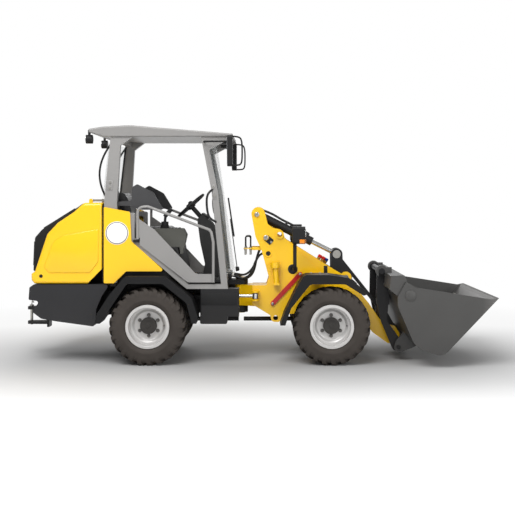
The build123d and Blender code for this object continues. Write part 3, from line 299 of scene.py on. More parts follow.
rubber = tyre_rubber("tyre_rubber")
silver_lacquer = rim_lacquer("silver_lacquer")
dull_steel = zinc("dull_steel", (0.13, 0.125, 0.12), 0.42)
plated = zinc("zinc_plate")
hub_enamel = sprayed("hub_enamel", (0.022, 0.020, 0.018), 0.4, shine=0.3)
for wheel, axle_x, side in WHEELS:
    centre = at(axle_x, side * TYRE_MIDDLE, AXLE_HEIGHT)
    dress(silver_lacquer, f"rim_{wheel}")
    tyre = bmesh.new()
    turned(tyre, CARCASS + [(-y, radius) for y, radius in CARCASS[::-1]], centre, (0, side, 0), 96, True)
    for half in (-1, 1):
        for step in range(BARS):
            turn = math.tau * (step + (half + 1) / 4) / BARS
            bar = bmesh.ops.create_grid(tyre, x_segments=len(BAR_RUN) - 1, y_segments=1, size=1)["verts"]
            for vert in bar:
                y, radius, lead, width = BAR_RUN[round((vert.co.x + 1) / 2 * (len(BAR_RUN) - 1))]
                angle = turn + math.radians(lead) + vert.co.y * width / radius
                spot = Vector((math.sin(angle) * radius, half * y, math.cos(angle) * radius))
                vert.co = centre + spot / 1000
            top = list({face for vert in bar for face in vert.link_faces})
            root = bmesh.ops.extrude_face_region(tyre, geom=top)["geom"]
            for vert in (item for item in root if isinstance(item, bmesh.types.BMVert)):
                inward = centre - vert.co
                vert.co += Vector((inward.x, 0, inward.z)).normalized() * BAR_DEPTH / 1000
    piece = show(f"lugged_{wheel}", tyre, rubber, f"wheel_{wheel}")
    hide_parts(f"tyre_{wheel}")

    hub = bmesh.new()
    turned(hub, HUB_COVER, centre, (0, side, 0), 48, True)
    show(f"hub_cover_{wheel}", hub, hub_enamel, f"wheel_{wheel}")

    nuts = bmesh.new()
    for place in range(WHEEL_NUTS):
        angle = math.tau * place / WHEEL_NUTS
        spot = Vector((math.sin(angle), 0, math.cos(angle))) * NUT_CIRCLE + Vector((0, side * NUT_SEAT, 0))
        nut(nuts, centre + spot / 1000, (0, side, 0), *NUT_SIZE)
    valve_foot = centre + Vector((VALVE_SPOT[0], side * VALVE_SPOT[1], 0)) / 1000
    turned(nuts, VALVE, valve_foot, (0, side, 0), 12, True)
    show(f"wheel_nuts_{wheel}", nuts, dull_steel, f"wheel_{wheel}")


# Engine hood and side panels: moulded shells in body yellow. A rubber seal closes the split
# line to the cab, a slatted vent is let into the slope, and the lock sits low at the back.
VENT_HALF_WIDTH = 345
HOUSING = [
    (-2022, 902), (-2078, 905), (-2062, 1240), (-1990, 1322), (-1845, 1412), (-1640, 1540), (-1575, 1586),
    (-1640, 1484), (-1800, 1380), (-1900, 1270), (-2018, 925),
]
VENTS = [((-2075, 960), (-2065, 1200), 10), ((-1975, 1331), (-1660, 1527), 13)]
SLAT_MARGIN = 40
STILE_MARGIN = 30
SEAL_LINE = -1349
SEAL_SIZE = 13
PANEL_FACE = 498
HOOD_FACE = 490
LOCK_SPOT = (-1960, 868)
SWAGE = [
    (-1395, 1330), (-1395, 1010), (-1480, 900), (-1880, 900), (-1930, 960), (-1840, 1200), (-1740, 1270),
]
DISC_SPOT = (-1210, 1292)
DISC_ROWS = [(0, 0), (0, 114), (2.5, 114), (3.5, 112), (3.5, 0)]
RING_ROWS = [(3.0, 102), (4.4, 102.5), (4.4, 108), (3.0, 108.5)]
LOCK_ROWS = [(0, 0), (0, 17), (4, 17), (6, 14), (6, 7), (3, 6), (3, 0)]


def moulded(name, colour, roughness=0.55, grain=0.18, scale=420.0):
    """Moulded plastic with a fine grain and paler scuffs."""
    material, shader, place, outward = new_finish(name, specular_ior_level=0.25)
    cloud = place.noise(5.0, 5.0)
    leather = place.noise(scale, 2.0)
    dusty = (outward.axis("Z") * 0.03 * cloud).held()
    tone = cloud.blend(opaque(colour, 0.85), opaque(colour, 1.2))
    feed(shader, "Base Color", dusty.blend(tone, (0.30, 0.27, 0.22, 1)))
    feed(shader, "Roughness", roughness + 0.2 * (leather - 0.5) + 0.5 * dusty)
    roughen(shader, leather, grain, 0.001)
    return material


def bar_between(built, start, end, width, height, up=(0, 0, 1), soft=0.25):
    """Straight bar of rectangular section between two points, edges rounded; sizes in mm."""
    run = end - start
    along = run.normalized()
    side = Vector(up).cross(along).normalized()
    turn = Matrix((side, along.cross(side), along)).transposed().to_4x4()
    stretch = Matrix.Diagonal((width / 1000, height / 1000, run.length, 1))
    made = bmesh.ops.create_cube(built, size=1, matrix=Matrix.Translation((start + end) / 2) @ turn @ stretch)
    edges = list({edge for vert in made["verts"] for edge in vert.link_edges})
    bmesh.ops.bevel(
        built, geom=edges, offset=min(width, height) * soft / 1000, affect="EDGES", segments=2, profile=0.5,
        material=-1)


soft_black = moulded("soft_black_plastic", (0.010, 0.010, 0.0105))
seal_rubber = moulded("seal_rubber", (0.010, 0.010, 0.010), 0.75, 0.1)
seal = bmesh.new()
for side in (-1, 1):
    foot, head = at(SEAL_LINE, side * 481, 805), at(SEAL_LINE, side * 481, 1556)
    bar_between(seal, foot, head, SEAL_SIZE, SEAL_SIZE, (1, 0, 0))
bar_between(seal, at(SEAL_LINE, -474, 1562), at(SEAL_LINE, 474, 1562), SEAL_SIZE, SEAL_SIZE)
show("hood_seal", seal, seal_rubber, "rear_body")

housing = bmesh.new()
side_face = housing.faces.new([housing.verts.new(at(x, -VENT_HALF_WIDTH, z)) for x, z in HOUSING])
far = bmesh.ops.extrude_face_region(housing, geom=[side_face])["geom"]
bmesh.ops.translate(
    housing, vec=(0, 2 * VENT_HALF_WIDTH / 1000, 0),
    verts=[item for item in far if isinstance(item, bmesh.types.BMVert)])
bmesh.ops.bevel(
    housing, geom=housing.edges[:], offset=0.012, affect="EDGES", segments=2, profile=0.5, material=-1)
for (foot_x, foot_z), (head_x, head_z), slats in VENTS:
    foot, head = Vector((foot_x, foot_z)), Vector((head_x, head_z))
    slope = (head - foot).normalized()
    proud = Vector((-slope.y, slope.x)) * 4
    for slat in range(slats):
        spot = foot.lerp(head, (slat + 0.5) / slats) + proud
        slat_end = VENT_HALF_WIDTH - SLAT_MARGIN
        bar_between(
            housing, at(spot.x, -slat_end, spot.y), at(spot.x, slat_end, spot.y), 9, 12,
            (-slope.y, 0, slope.x))
    for y in (-VENT_HALF_WIDTH + STILE_MARGIN, 0, VENT_HALF_WIDTH - STILE_MARGIN):
        stile_foot = at(foot.x + proud.x, y, foot.y + proud.y)
        stile_head = at(head.x + proud.x, y, head.y + proud.y)
        bar_between(housing, stile_foot, stile_head, 16, 10)
grille = show("rear_grille", housing, soft_black, "hood")
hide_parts("hood_grille")

swage = bmesh.new()
for side in (-1, 1):
    panel = swage.faces.new([swage.verts.new(at(x, side * 488, z)) for x, z in SWAGE])
    raised = bmesh.ops.extrude_face_region(swage, geom=[panel])["geom"]
    raised_verts = [item for item in raised if isinstance(item, bmesh.types.BMVert)]
    bmesh.ops.translate(swage, vec=(0, side * 0.009, 0), verts=raised_verts)
bmesh.ops.bevel(
    swage, geom=swage.edges[:], offset=0.006, affect="EDGES", segments=3, profile=0.5, material=-1)
show("hood_swage", swage, yellow_enamel, "hood", 60)

white_vinyl = moulded("white_disc_vinyl", (0.80, 0.80, 0.79), 0.35, 0.03)
for side, side_name in ((-1, "right"), (1, "left")):
    disc = bmesh.new()
    turned(disc, DISC_ROWS, at(DISC_SPOT[0], side * PANEL_FACE, DISC_SPOT[1]), (0, side, 0), 64, False)
    show(f"disc_{side_name}", disc, white_vinyl, "rear_body")
    ring = bmesh.new()
    turned(ring, RING_ROWS, at(DISC_SPOT[0], side * PANEL_FACE, DISC_SPOT[1]), (0, side, 0), 64, True)
    show(f"disc_ring_{side_name}", ring, seal_rubber, "rear_body")
    lock = bmesh.new()
    turned(lock, LOCK_ROWS, at(LOCK_SPOT[0], side * HOOD_FACE, LOCK_SPOT[1]), (0, side, 0), 28, False)
    show(f"hood_lock_{side_name}", lock, soft_black, "hood")


# Fenders: rotation-moulded black bands over the tyres, grained, with two bolts through the
# top of each to the frame's arms. Black sheets in the rear wheel arches paint in the shade under the fenders.
FENDER_BOLTS = [("front_body", 750, 888), ("rear_body", -900, 872)]
FENDER_BOLT_Y = 390
FENDER_BOLT_SIZE = (24, 9)
SHADE_SHEETS = [((-1262, -690), 440, 862, 112), ((-1200, -640), 326, 790, 170)]
SHADE_SHEET_THICKNESS = 4
fender_plastic = moulded("fender_plastic", (0.007, 0.007, 0.0075), 0.5, 0.3, 260.0)
dress(fender_plastic, "rear_fenders", "front_fenders")
for body, x, z in FENDER_BOLTS:
    heads = bmesh.new()
    for side in (-1, 1):
        for dx in (-45, 45):
            nut(heads, at(x + dx, side * FENDER_BOLT_Y, z - 1), (0, 0, 1), *FENDER_BOLT_SIZE)
    show(f"fender_bolts_{body}", heads, plated, body)
# Painted shade: dark sheets inside the rear wheel arches, where there is only shade.
shade_sheets = bmesh.new()
for side in (-1, 1):
    for (rear_x, front_x), y, z, height in SHADE_SHEETS:
        bar_between(shade_sheets, at(rear_x, side * y, z), at(front_x, side * y, z), SHADE_SHEET_THICKNESS, height)
show("arch_shade_sheets", shade_sheets, soft_black, "rear_body")


# Cab: welded tube frame, pressed roof and half doors in warm grey. Splice plates bolt the
# upper pillars on, bent grab handles flank the entrance, and black seals hold the glass.
# The rear window bows backwards, so its edge is a bent strip of its own.
SPLICES = [(-256, 1700, 38, 150, -6), (-1283, 1762, 60, 96, 4)]
PILLAR_FACE = 481
HANDLE = [
    (-264, 468, 1722), (-290, 505, 1712), (-332, 508, 1645), (-317, 508, 1462), (-262, 505, 1412),
    (-232, 468, 1399),
]
HANDLE_RADIUS = 11
GLASS_LINES = [((-146, 876), (-339, 2196)), ((-1338, 1646), (-1276, 2190))]
GLASS_EDGE = 412
WINDOW_BOW = [(-1330, 1642), (-1489, 1917), (-1268, 2192)]
BOW_EDGE = 421
BOW_RADIUS = 10
WIPER_BARS = [((-42, -20, 905), (-112, -58, 1420), 16, 9), ((-72, -96, 1240), (-135, -20, 1640), 9, 16)]
WIPER_BOSS = [(-14, 0), (-14, 26), (18, 22), (24, 14), (24, 0)]
FRONT_LAMP_Y = 330
MAT_RIBS = 12
MAT_PITCH = 24


def safety_glass(name, colour, alpha):
    material, shader, place, outward = new_finish(name, alpha=alpha, roughness=0.04, coat_weight=0.0)
    streak = place.noise(6.0, 4.0)
    feed(shader, "Base Color", streak.blend(opaque(colour, 0.8), opaque(colour)))
    return material


def rounded_tube(built, points, radius):
    """Round bar on a smooth line drawn by the points, in frame metres; gives its centre line."""
    line = bpy.data.curves.new("line", "CURVE")
    line.dimensions = "3D"
    line.bevel_depth = radius / 1000
    line.bevel_resolution = 4
    line.use_fill_caps = True
    spline = line.splines.new("NURBS")
    spline.points.add(len(points) - 1)
    for target, point in zip(spline.points, points):
        target.co = (*point, 1)
    spline.order_u = 3
    spline.use_endpoint_u = True
    spline.resolution_u = 8
    holder = bpy.data.objects.new("line", line)
    mesh = bpy.data.meshes.new_from_object(holder)
    built.from_mesh(mesh)
    bpy.data.meshes.remove(mesh)
    line.bevel_depth = 0
    centre_line = bpy.data.meshes.new_from_object(holder)
    path = [vert.co.copy() for vert in centre_line.vertices]
    bpy.data.meshes.remove(centre_line)
    bpy.data.objects.remove(holder)
    bpy.data.curves.remove(line)
    return path


cab_enamel = sprayed("cab_enamel", (0.245, 0.239, 0.233), 0.40)
# The roof is the cab's warm grey set a little darker: partly painted shade on the roof.
roof_enamel_painted_shade = sprayed("roof_enamel_painted_shade", (0.225, 0.219, 0.213), 0.42)
dress(cab_enamel, "cab_frame", "door_right", "door_left")
dress(roof_enamel_painted_shade, "cab_roof")
dress(black_enamel, "door_hinges", "seat_base")
dress(safety_glass("clear_glass", (0.55, 0.60, 0.60), 0.12), "windscreen", "rear_window")
splices = bmesh.new()
splice_bolts = bmesh.new()
handles = bmesh.new()
for side in (-1, 1):
    for x, z, width, height, lean in SPLICES:
        low = at(x - lean, side * PILLAR_FACE, z - height / 2)
        high = at(x + lean, side * PILLAR_FACE, z + height / 2)
        bar_between(splices, low, high, width, 7, (0, 1, 0), 0.35)
        for share in (0.22, 0.78):
            spot = low.lerp(high, share) + Vector((0, side * 0.003, 0))
            nut(splice_bolts, spot, (0, side, 0), 22, 11)
    rounded_tube(handles, [at(x, side * y, z) for x, y, z in HANDLE], HANDLE_RADIUS)
show("pillar_splices", splices, cab_enamel, "rear_body")
show("splice_bolts", splice_bolts, plated, "rear_body")
show("grab_handles", handles, black_enamel, "rear_body")

glass_seal = bmesh.new()
for (foot_x, foot_z), (head_x, head_z) in GLASS_LINES:
    for side in (-1, 1):
        foot, head = at(foot_x, side * GLASS_EDGE, foot_z), at(head_x, side * GLASS_EDGE, head_z)
        bar_between(glass_seal, foot, head, 16, 12, (0, 1, 0))
show("glass_seals", glass_seal, seal_rubber, "rear_body")

wiper = bmesh.new()
for foot, head, width, height in WIPER_BARS:
    bar_between(wiper, at(*foot), at(*head), width, height, (1, 0, 0))
turned(wiper, WIPER_BOSS, at(-44, -18, 900), (1, 0, 0.14), 20, False)
show("windscreen_wiper", wiper, soft_black, "rear_body")

front_lamps = bmesh.new()
for side in (-1, 1):
    y = side * FRONT_LAMP_Y
    bar_between(front_lamps, at(-230, y, 2205), at(-110, y, 2212), 120, 62, (0, 0, 1), 0.3)
    bar_between(front_lamps, at(-180, y, 2225), at(-180, y, 2250), 30, 30, (1, 0, 0))
show("cab_front_lamps", front_lamps, soft_black, "rear_body")

interior = moulded("cab_lining", (0.022, 0.022, 0.022), 0.8, 0.3, 180.0)
dress(interior, "cab_floor", "steering_column")
mat = bmesh.new()
for rib in range(MAT_RIBS):
    x = -250 - rib * MAT_PITCH
    bar_between(mat, at(x, -405, 822), at(x, 405, 822), 12, 6)
show("floor_mat_ribs", mat, seal_rubber, "rear_body")

window_edge = bmesh.new()
for side in (-1, 1):
    rounded_tube(window_edge, [at(x, side * BOW_EDGE, z) for x, z in WINDOW_BOW], BOW_RADIUS)
show("rear_window_edge", window_edge, seal_rubber, "rear_body")


# Driver's seat: foam cushion and backrest under black vinyl, sewn in channels across, on a
# steel pedestal. Each pad is blown up as cloth, then its channels are drawn in.
CUSHION = [(-698, 1262), (-694, 1318), (-716, 1334), (-1090, 1320), (-1092, 1252), (-750, 1250)]
BACKREST = [
    (-1112, 1252), (-1106, 1400), (-1150, 1600), (-1200, 1698), (-1244, 1700), (-1252, 1640), (-1190, 1400),
    (-1168, 1252),
]
CUSHION_SEAMS = [-780, -860, -940, -1020]
BACKREST_SEAMS = [1340, 1420, 1500, 1580, 1660]
PAD_HALF_WIDTH = 226
VOXEL = 0.006
SWELL = 0.012
SEAM_DEPTH = 0.006
SEAM_WIDTH = 0.007
PAD_ROUND = 0.014
PAD_BASE = 1256
CLOTH_PRESSURE = 4
CLOTH_FRAMES = 20


def vinyl(name):
    material, shader, place, outward = new_finish(name, specular_ior_level=0.45, sheen_weight=0.1)
    cloud = place.noise(12.0, 4.0)
    hide = place.node("ShaderNodeTexVoronoi", {"feature": "F1"}, {"Vector": place, "Scale": 520.0})
    feed(shader, "Base Color", cloud.blend((0.011, 0.011, 0.012, 1), (0.024, 0.023, 0.023, 1)))
    feed(shader, "Roughness", 0.46 + 0.25 * (cloud - 0.5) + 0.1 * hide)
    roughen(shader, hide, 0.22, 0.0008)
    return material


def stuffed(name, outline, seams, pull, material, node):
    """Padded piece: side outline made solid, blown up as cloth with its base kept flat, then sewn."""
    built = bmesh.new()
    face = built.faces.new([built.verts.new(at(x, -PAD_HALF_WIDTH, z)) for x, z in outline])
    grown = bmesh.ops.extrude_face_region(built, geom=[face])["geom"]
    bmesh.ops.translate(
        built, vec=(0, 2 * PAD_HALF_WIDTH / 1000, 0),
        verts=[item for item in grown if isinstance(item, bmesh.types.BMVert)])
    bmesh.ops.recalc_face_normals(built, faces=built.faces)
    bmesh.ops.bevel(
        built, geom=built.edges[:], offset=PAD_ROUND, affect="EDGES", segments=3, profile=0.5, material=-1)
    mesh = bpy.data.meshes.new(name)
    built.to_mesh(mesh)
    built.free()
    piece = bpy.data.objects.new(name, mesh)
    scene = bpy.context.scene
    scene.collection.objects.link(piece)
    remesh = piece.modifiers.new("remesh", "REMESH")
    remesh.mode = "VOXEL"
    remesh.voxel_size = VOXEL
    piece.data = bpy.data.meshes.new_from_object(piece.evaluated_get(bpy.context.evaluated_depsgraph_get()))
    piece.modifiers.clear()
    rest = [vert.co.copy() for vert in piece.data.vertices]
    cloth = piece.modifiers.new("cloth", "CLOTH")
    cloth.settings.use_pressure = True
    cloth.settings.uniform_pressure_force = CLOTH_PRESSURE
    cloth.settings.effector_weights.gravity = 0
    for step in range(1, CLOTH_FRAMES + 1):
        scene.frame_set(step)
    blown = bpy.data.meshes.new_from_object(piece.evaluated_get(bpy.context.evaluated_depsgraph_get()))
    piece.modifiers.clear()
    scene.frame_set(1)
    piece.data = blown
    for vert, start in zip(blown.vertices, rest):
        move = vert.co - start
        if start.z * 1000 < PAD_BASE:
            move = Vector((0, 0, 0))
        if move.length > SWELL:
            move *= SWELL / move.length
        place = start + move
        along = place.x * 1000 + PIVOT_STATION if pull.z else place.z * 1000
        near = max(math.exp(-(((along - seam) / 1000 / SEAM_WIDTH) ** 2)) for seam in seams)
        facing = vert.normal.dot(pull)
        vert.co = place - pull * (SEAM_DEPTH * near * max(facing, 0))
    blown.polygons.foreach_set("use_smooth", [True] * len(blown.polygons))
    blown.materials.append(material)
    round_off = piece.modifiers.new("round_off", "SUBSURF")
    round_off.levels = 1
    round_off.render_levels = 1
    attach(piece, "rear_body")
    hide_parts(node)


seat_hide = vinyl("seat_hide")
stuffed("seat_cushion_pad", CUSHION, CUSHION_SEAMS, Vector((0, 0, 1)), seat_hide, "seat_cushion")
stuffed("seat_backrest_pad", BACKREST, BACKREST_SEAMS, Vector((1, 0, 0)), seat_hide, "seat_backrest")

# Driver's controls: moulded console with two rows of switches, side guards, lever with a
# pleated boot, steering wheel with a spinner knob, and a plain pod on the column.
BOOT = [
    (0, 0), (0, 47), (6, 48), (10, 42), (17, 46), (22, 38), (29, 42), (34, 33), (41, 36), (46, 27), (54, 29),
    (60, 18), (72, 15), (72, 0),
]
SWITCH_START = (-600, -305, 1337)
SWITCH_PITCH = (34, 42)
SWITCH_LENGTH = 22
SPINNER = [(0, 0), (0, 9), (14, 9), (18, 20), (40, 23), (50, 16), (53, 0)]
console_plastic = moulded("console_plastic", (0.075, 0.075, 0.066), 0.6, 0.25)
dress(console_plastic, "control_console")
dress(moulded("guard_plastic", (0.045, 0.045, 0.047), 0.55, 0.25), "side_restraints")
dress(soft_black, "steering_wheel", "joystick")
boot = bmesh.new()
turned(boot, BOOT, at(-757, -336, 1334.5), (0, 0, 1), 32, False)
show("lever_boot", boot, seal_rubber, "rear_body")
spinner = bmesh.new()
turned(spinner, SPINNER, at(-526, 168, 1560), (-0.664, 0, 0.748), 24, False)
show("spinner_knob", spinner, soft_black, "rear_body")
switches = bmesh.new()
for row in range(2):
    for column in range(4):
        x = SWITCH_START[0] - column * SWITCH_PITCH[0]
        y = SWITCH_START[1] - row * SWITCH_PITCH[1]
        bar_between(switches, at(x, y, SWITCH_START[2]), at(x - SWITCH_LENGTH, y, SWITCH_START[2]), 30, 9)
bar_between(switches, at(-408, 0, 1476), at(-330, 0, 1432), 190, 26, soft=0.4)
show("console_switches", switches, soft_black, "rear_body")

# Step boxes under the cab: folded steel with a ribbed tread and a long rub strip.
TREAD_RIBS = 7
TREAD_START = -380
TREAD_PITCH = 38
TREAD_Y = (365, 478)
TREAD_Z = 467
STRIP_X = (-380, -30)
STRIP_Y = 481
STRIP_Z = 640
dress(black_enamel, "step_boxes")
treads = bmesh.new()
for side in (-1, 1):
    for rib in range(TREAD_RIBS):
        x = TREAD_START + rib * TREAD_PITCH
        bar_between(treads, at(x, side * TREAD_Y[0], TREAD_Z), at(x, side * TREAD_Y[1], TREAD_Z), 12, 5)
    strip_rear, strip_front = [at(x, side * STRIP_Y, STRIP_Z) for x in STRIP_X]
    bar_between(treads, strip_rear, strip_front, 8, 120, soft=0.3)
show("step_treads", treads, soft_black, "rear_body")

# Tow pin: plated round bar with a bent grip, dropped through both plates of the jaw.
TOW_STATION = -2186
TOW_MIDDLE = 419.5
TOW_ROWS = [(-100, 0), (-100, 12), (-92, 14.5), (96, 14.5), (96, 22), (106, 22), (106, 0)]
TOW_GRIP = [(0, 522), (0, 556), (40, 562), (70, 540)]
GRIP_RADIUS = 6
pin = bmesh.new()
turned(pin, TOW_ROWS, at(TOW_STATION, 0, TOW_MIDDLE), (0, 0, 1), 28, False)
rounded_tube(pin, [at(TOW_STATION, y, z) for y, z in TOW_GRIP], GRIP_RADIUS)
show("tow_pin", pin, plated, "rear_body")

# Mirrors and work lights: black housings with a bright glass or lens let into the face of
# each. A bent guard tube stands in front of each mirror.
MIRROR_Y = 605
MIRROR_BACK = -119
MIRROR_Z = (1968, 2222)
WORK_LIGHT = (-1532, 400, 2222)
GUARD_LINE = [(-90, 2236), (-10, 2236), (22, 2200), (26, 2080), (22, 1975), (-10, 1952), (-90, 1956)]
GUARD_RADIUS = 8
REFLECTOR_ROWS = [(-2, 0), (-2, 40), (3, 40), (5, 37), (3, 34), (1.5, 0)]


def bright(name, colour, roughness):
    material, shader, place, outward = new_finish(name, metallic=0.8)
    ripple = place.noise(70.0, 2.0)
    feed(shader, "Base Color", ripple.blend(opaque(colour, 0.9), opaque(colour)))
    feed(shader, "Roughness", roughness + 0.1 * ripple)
    return material


mirror_glass = bright("mirror_glass", (0.75, 0.78, 0.80), 0.03)
lamp_lens = bright("lamp_lens", (0.70, 0.71, 0.70), 0.12)
dress(soft_black, "mirrors", "work_lights", "headlights")
mirror_faces = bmesh.new()
lenses = bmesh.new()
for side in (-1, 1):
    low, high = [at(MIRROR_BACK, side * MIRROR_Y, z) for z in MIRROR_Z]
    bar_between(mirror_faces, low, high, 142, 4, (1, 0, 0), 0.4)
    lens_centre = at(WORK_LIGHT[0], side * WORK_LIGHT[1], WORK_LIGHT[2])
    turned(lenses, REFLECTOR_ROWS, lens_centre, (-1, 0, 0), 32, False)
show("mirror_faces", mirror_faces, mirror_glass, "rear_body")
mirror_guards = bmesh.new()
for side in (-1, 1):
    rounded_tube(mirror_guards, [at(x, side * MIRROR_Y, z) for x, z in GUARD_LINE], GUARD_RADIUS)
show("mirror_guards", mirror_guards, soft_black, "rear_body")
show("work_light_lenses", lenses, lamp_lens, "rear_body")

# Headlights on the front body: clear lens in a black shell with an amber turn light below.
HEADLIGHT = (647, 390, 1290)
TURN_Z = 1206
HEADLIGHT_ROWS = [(-3, 0), (-3, 44), (4, 44), (8, 38), (10, 0)]
amber = safety_glass("amber_lens", (0.80, 0.24, 0.01), 1.0)
head_lenses = bmesh.new()
turn_lenses = bmesh.new()
for side in (-1, 1):
    lens_centre = at(HEADLIGHT[0], side * HEADLIGHT[1], HEADLIGHT[2])
    turned(head_lenses, HEADLIGHT_ROWS, lens_centre, (1, 0, 0), 36, False)
    inner, outer = at(649, side * 348, TURN_Z), at(649, side * 432, TURN_Z)
    bar_between(turn_lenses, inner, outer, 40, 10, (1, 0, 0), 0.4)
    rear, front = at(590, side * 451, TURN_Z), at(640, side * 451, TURN_Z)
    bar_between(turn_lenses, rear, front, 40, 8, (0, 1, 0), 0.4)
show("headlight_lenses", head_lenses, lamp_lens, "front_body")
show("turn_lenses", turn_lenses, amber, "front_body")

# Tower fittings: oil filler, red boom lock strut on two knobs, ringed sight hole, the foot of
# the headlight post, and the pin ends of boom and tilt ram with black keeper plates.
BOOM_PIN = (257.4, 1232.2)
RAM_PIN = (164.2, 1468.8)
KEEPER_END = (318, 1180)
KEEPER_BOLT = (311, 1186)
STRUT_KNOBS = [(326, 556), (608, 858)]
STRUT_FACE = 164
TOWER_FACE = 149.5
SIGHT_SPOT = (280, 1068)
POST_SPOT = (532, 908)
dress(yellow_enamel, "oil_filler")
dress(sprayed("red_enamel", (0.52, 0.012, 0.010), 0.34), "lock_strut")
dress(zinc("ram_chrome", (0.66, 0.66, 0.65), 0.12), "tilt_rod", "lift_rod", "steer_rod")
dress(plated, "lever_pin", "link_pins", "hitch_pin")
PIN_CAP = [(0, 0), (0, 25), (7, 25), (10, 21), (10, 8), (7, 6), (7, 0)]
KNOB = [(0, 0), (0, 14), (10, 14), (13, 10), (13, 0)]
SIGHT_RING = [(0, 24), (4, 24), (7, 27), (7, 38), (4, 41), (0, 41)]
SIGHT_HOLE_SHADE = [(0, 25), (2, 25), (2, 0)]
POST_FOOT = [(0, 50), (3, 50), (5, 47), (5, 20), (3, 16), (3, 0)]
pins = bmesh.new()
keepers = bmesh.new()
for side in (-1, 1):
    turned(pins, PIN_CAP, at(BOOM_PIN[0], side * 164, BOOM_PIN[1]), (0, side, 0), 32, False)
    turned(pins, PIN_CAP, at(RAM_PIN[0], side * 160, RAM_PIN[1]), (0, side, 0), 32, False)
    keeper_head, keeper_tip = [at(x, side * 153, z) for x, z in (BOOM_PIN, KEEPER_END)]
    bar_between(keepers, keeper_head, keeper_tip, 66, 8, (0, 1, 0), 0.4)
    nut(pins, at(KEEPER_BOLT[0], side * 156, KEEPER_BOLT[1]), (0, side, 0), 20, 10)
for x, z in STRUT_KNOBS:
    turned(pins, KNOB, at(x, -STRUT_FACE, z), (0, -1, 0), 20, False)
show("tower_pin_ends", pins, plated, "front_body")
show("pin_keepers", keepers, black_enamel, "front_body")
# Painted shade: a flat black disc inside each sight ring stands in for the shade in the hole. The post feet
# share its mesh.
rings = bmesh.new()
hole_shade_and_post_feet = bmesh.new()
for side in (-1, 1):
    sight = at(SIGHT_SPOT[0], side * TOWER_FACE, SIGHT_SPOT[1])
    post = at(POST_SPOT[0], side * TOWER_FACE, POST_SPOT[1])
    turned(rings, SIGHT_RING, sight, (0, side, 0), 36, True)
    turned(hole_shade_and_post_feet, SIGHT_HOLE_SHADE, sight, (0, side, 0), 36, False)
    turned(hole_shade_and_post_feet, POST_FOOT, post, (0, side, 0), 36, False)
show("sight_rings", rings, yellow_enamel, "front_body")
show("sight_hole_shade_and_post_feet", hole_shade_and_post_feet, black_enamel, "front_body")

# Hydraulic hoses: black rubber lines, 22 mm thick, that hang in loops from the cab's valve
# plate to the tower. Looped pipes with plated unions stand on a yellow service plate behind
# the tower.
HOSES = [
    [
        (-112, -120, 840), (-60, -120, 835), (20, -150, 800), (110, -160, 860),
        (150, -110, 1000), (220, -100, 1080), (310, -118, 1090),
    ],
    [
        (-112, -60, 850), (-60, -60, 845), (30, -80, 790), (130, -80, 850),
        (165, -70, 1040), (215, -90, 1150), (310, -118, 1160),
    ],
    [
        (-112, 0, 855), (-60, 0, 850), (40, -10, 830), (120, 0, 900),
        (165, 40, 1010), (215, 90, 1060), (310, 118, 1060),
    ],
    [
        (-112, 60, 845), (-60, 60, 840), (30, 80, 790), (130, 80, 850),
        (165, 70, 1040), (215, 90, 1150), (310, 118, 1160),
    ],
]
HOSE_RADIUS = 11
SERVICE_X = (26, 120)
SERVICE_Y = 124
SERVICE_Z = 1116
SERVICE_PIPES = [-96, -52, 52, 96]
LOOP_LINE = [(46, 0), (46, 90), (46, 126), (98, 126), (98, 90), (98, 0)]
LOOP_RADIUS = 7
ARM_END = 240
FERRULE = [(-16, 0), (-16, 16), (20, 16), (22, 13), (40, 13), (40, 0)]
UNION = [(0, 0), (0, 13), (18, 13), (20, 10), (64, 10), (64, 0)]
hose_rubber = moulded("hose_rubber", (0.012, 0.012, 0.012), 0.6, 0.2, 700.0)
for number, route in enumerate(HOSES):
    hose = bmesh.new()
    points = [at(*point) for point in route]
    path = rounded_tube(hose, points, HOSE_RADIUS)
    piece = show(f"hose_{number}", hose, hose_rubber, None)
    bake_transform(piece)
service_plate = bmesh.new()
service_pipes = bmesh.new()
service_nuts = bmesh.new()
plate_rear, plate_front = [at(x, 0, SERVICE_Z) for x in SERVICE_X]
bar_between(service_plate, plate_rear, plate_front, 2 * SERVICE_Y, 8)
for side in (-1, 1):
    arm_y = side * (SERVICE_Y - 4)
    arm_rear, arm_front = at(SERVICE_X[1] - 10, arm_y, SERVICE_Z), at(ARM_END, arm_y, SERVICE_Z)
    bar_between(service_plate, arm_rear, arm_front, 8, 30)
for y in SERVICE_PIPES:
    rounded_tube(service_pipes, [at(x, y, SERVICE_Z + rise) for x, rise in LOOP_LINE], LOOP_RADIUS)
    for x in (LOOP_LINE[0][0], LOOP_LINE[-1][0]):
        turned(service_nuts, UNION, at(x, y, SERVICE_Z), (0, 0, -1), 16, False)
        nut(service_nuts, at(x, y, SERVICE_Z + 4), (0, 0, 1), 24, 14)
show("service_plate", service_plate, yellow_enamel, "front_body")
show("service_pipes", service_pipes, black_enamel, "front_body")
show("service_nuts", service_nuts, plated, "front_body")
ferrules = bmesh.new()
manifold = bmesh.new()
for route in HOSES:
    turned(ferrules, FERRULE, at(*route[0]), (1, 0, 0), 20, False)
show("hose_ferrules", ferrules, plated, "rear_body")
bar_between(manifold, at(-124, -160, 848), at(-124, 100, 848), 60, 70, soft=0.1)
show("valve_plate", manifold, black_enamel, "rear_body")

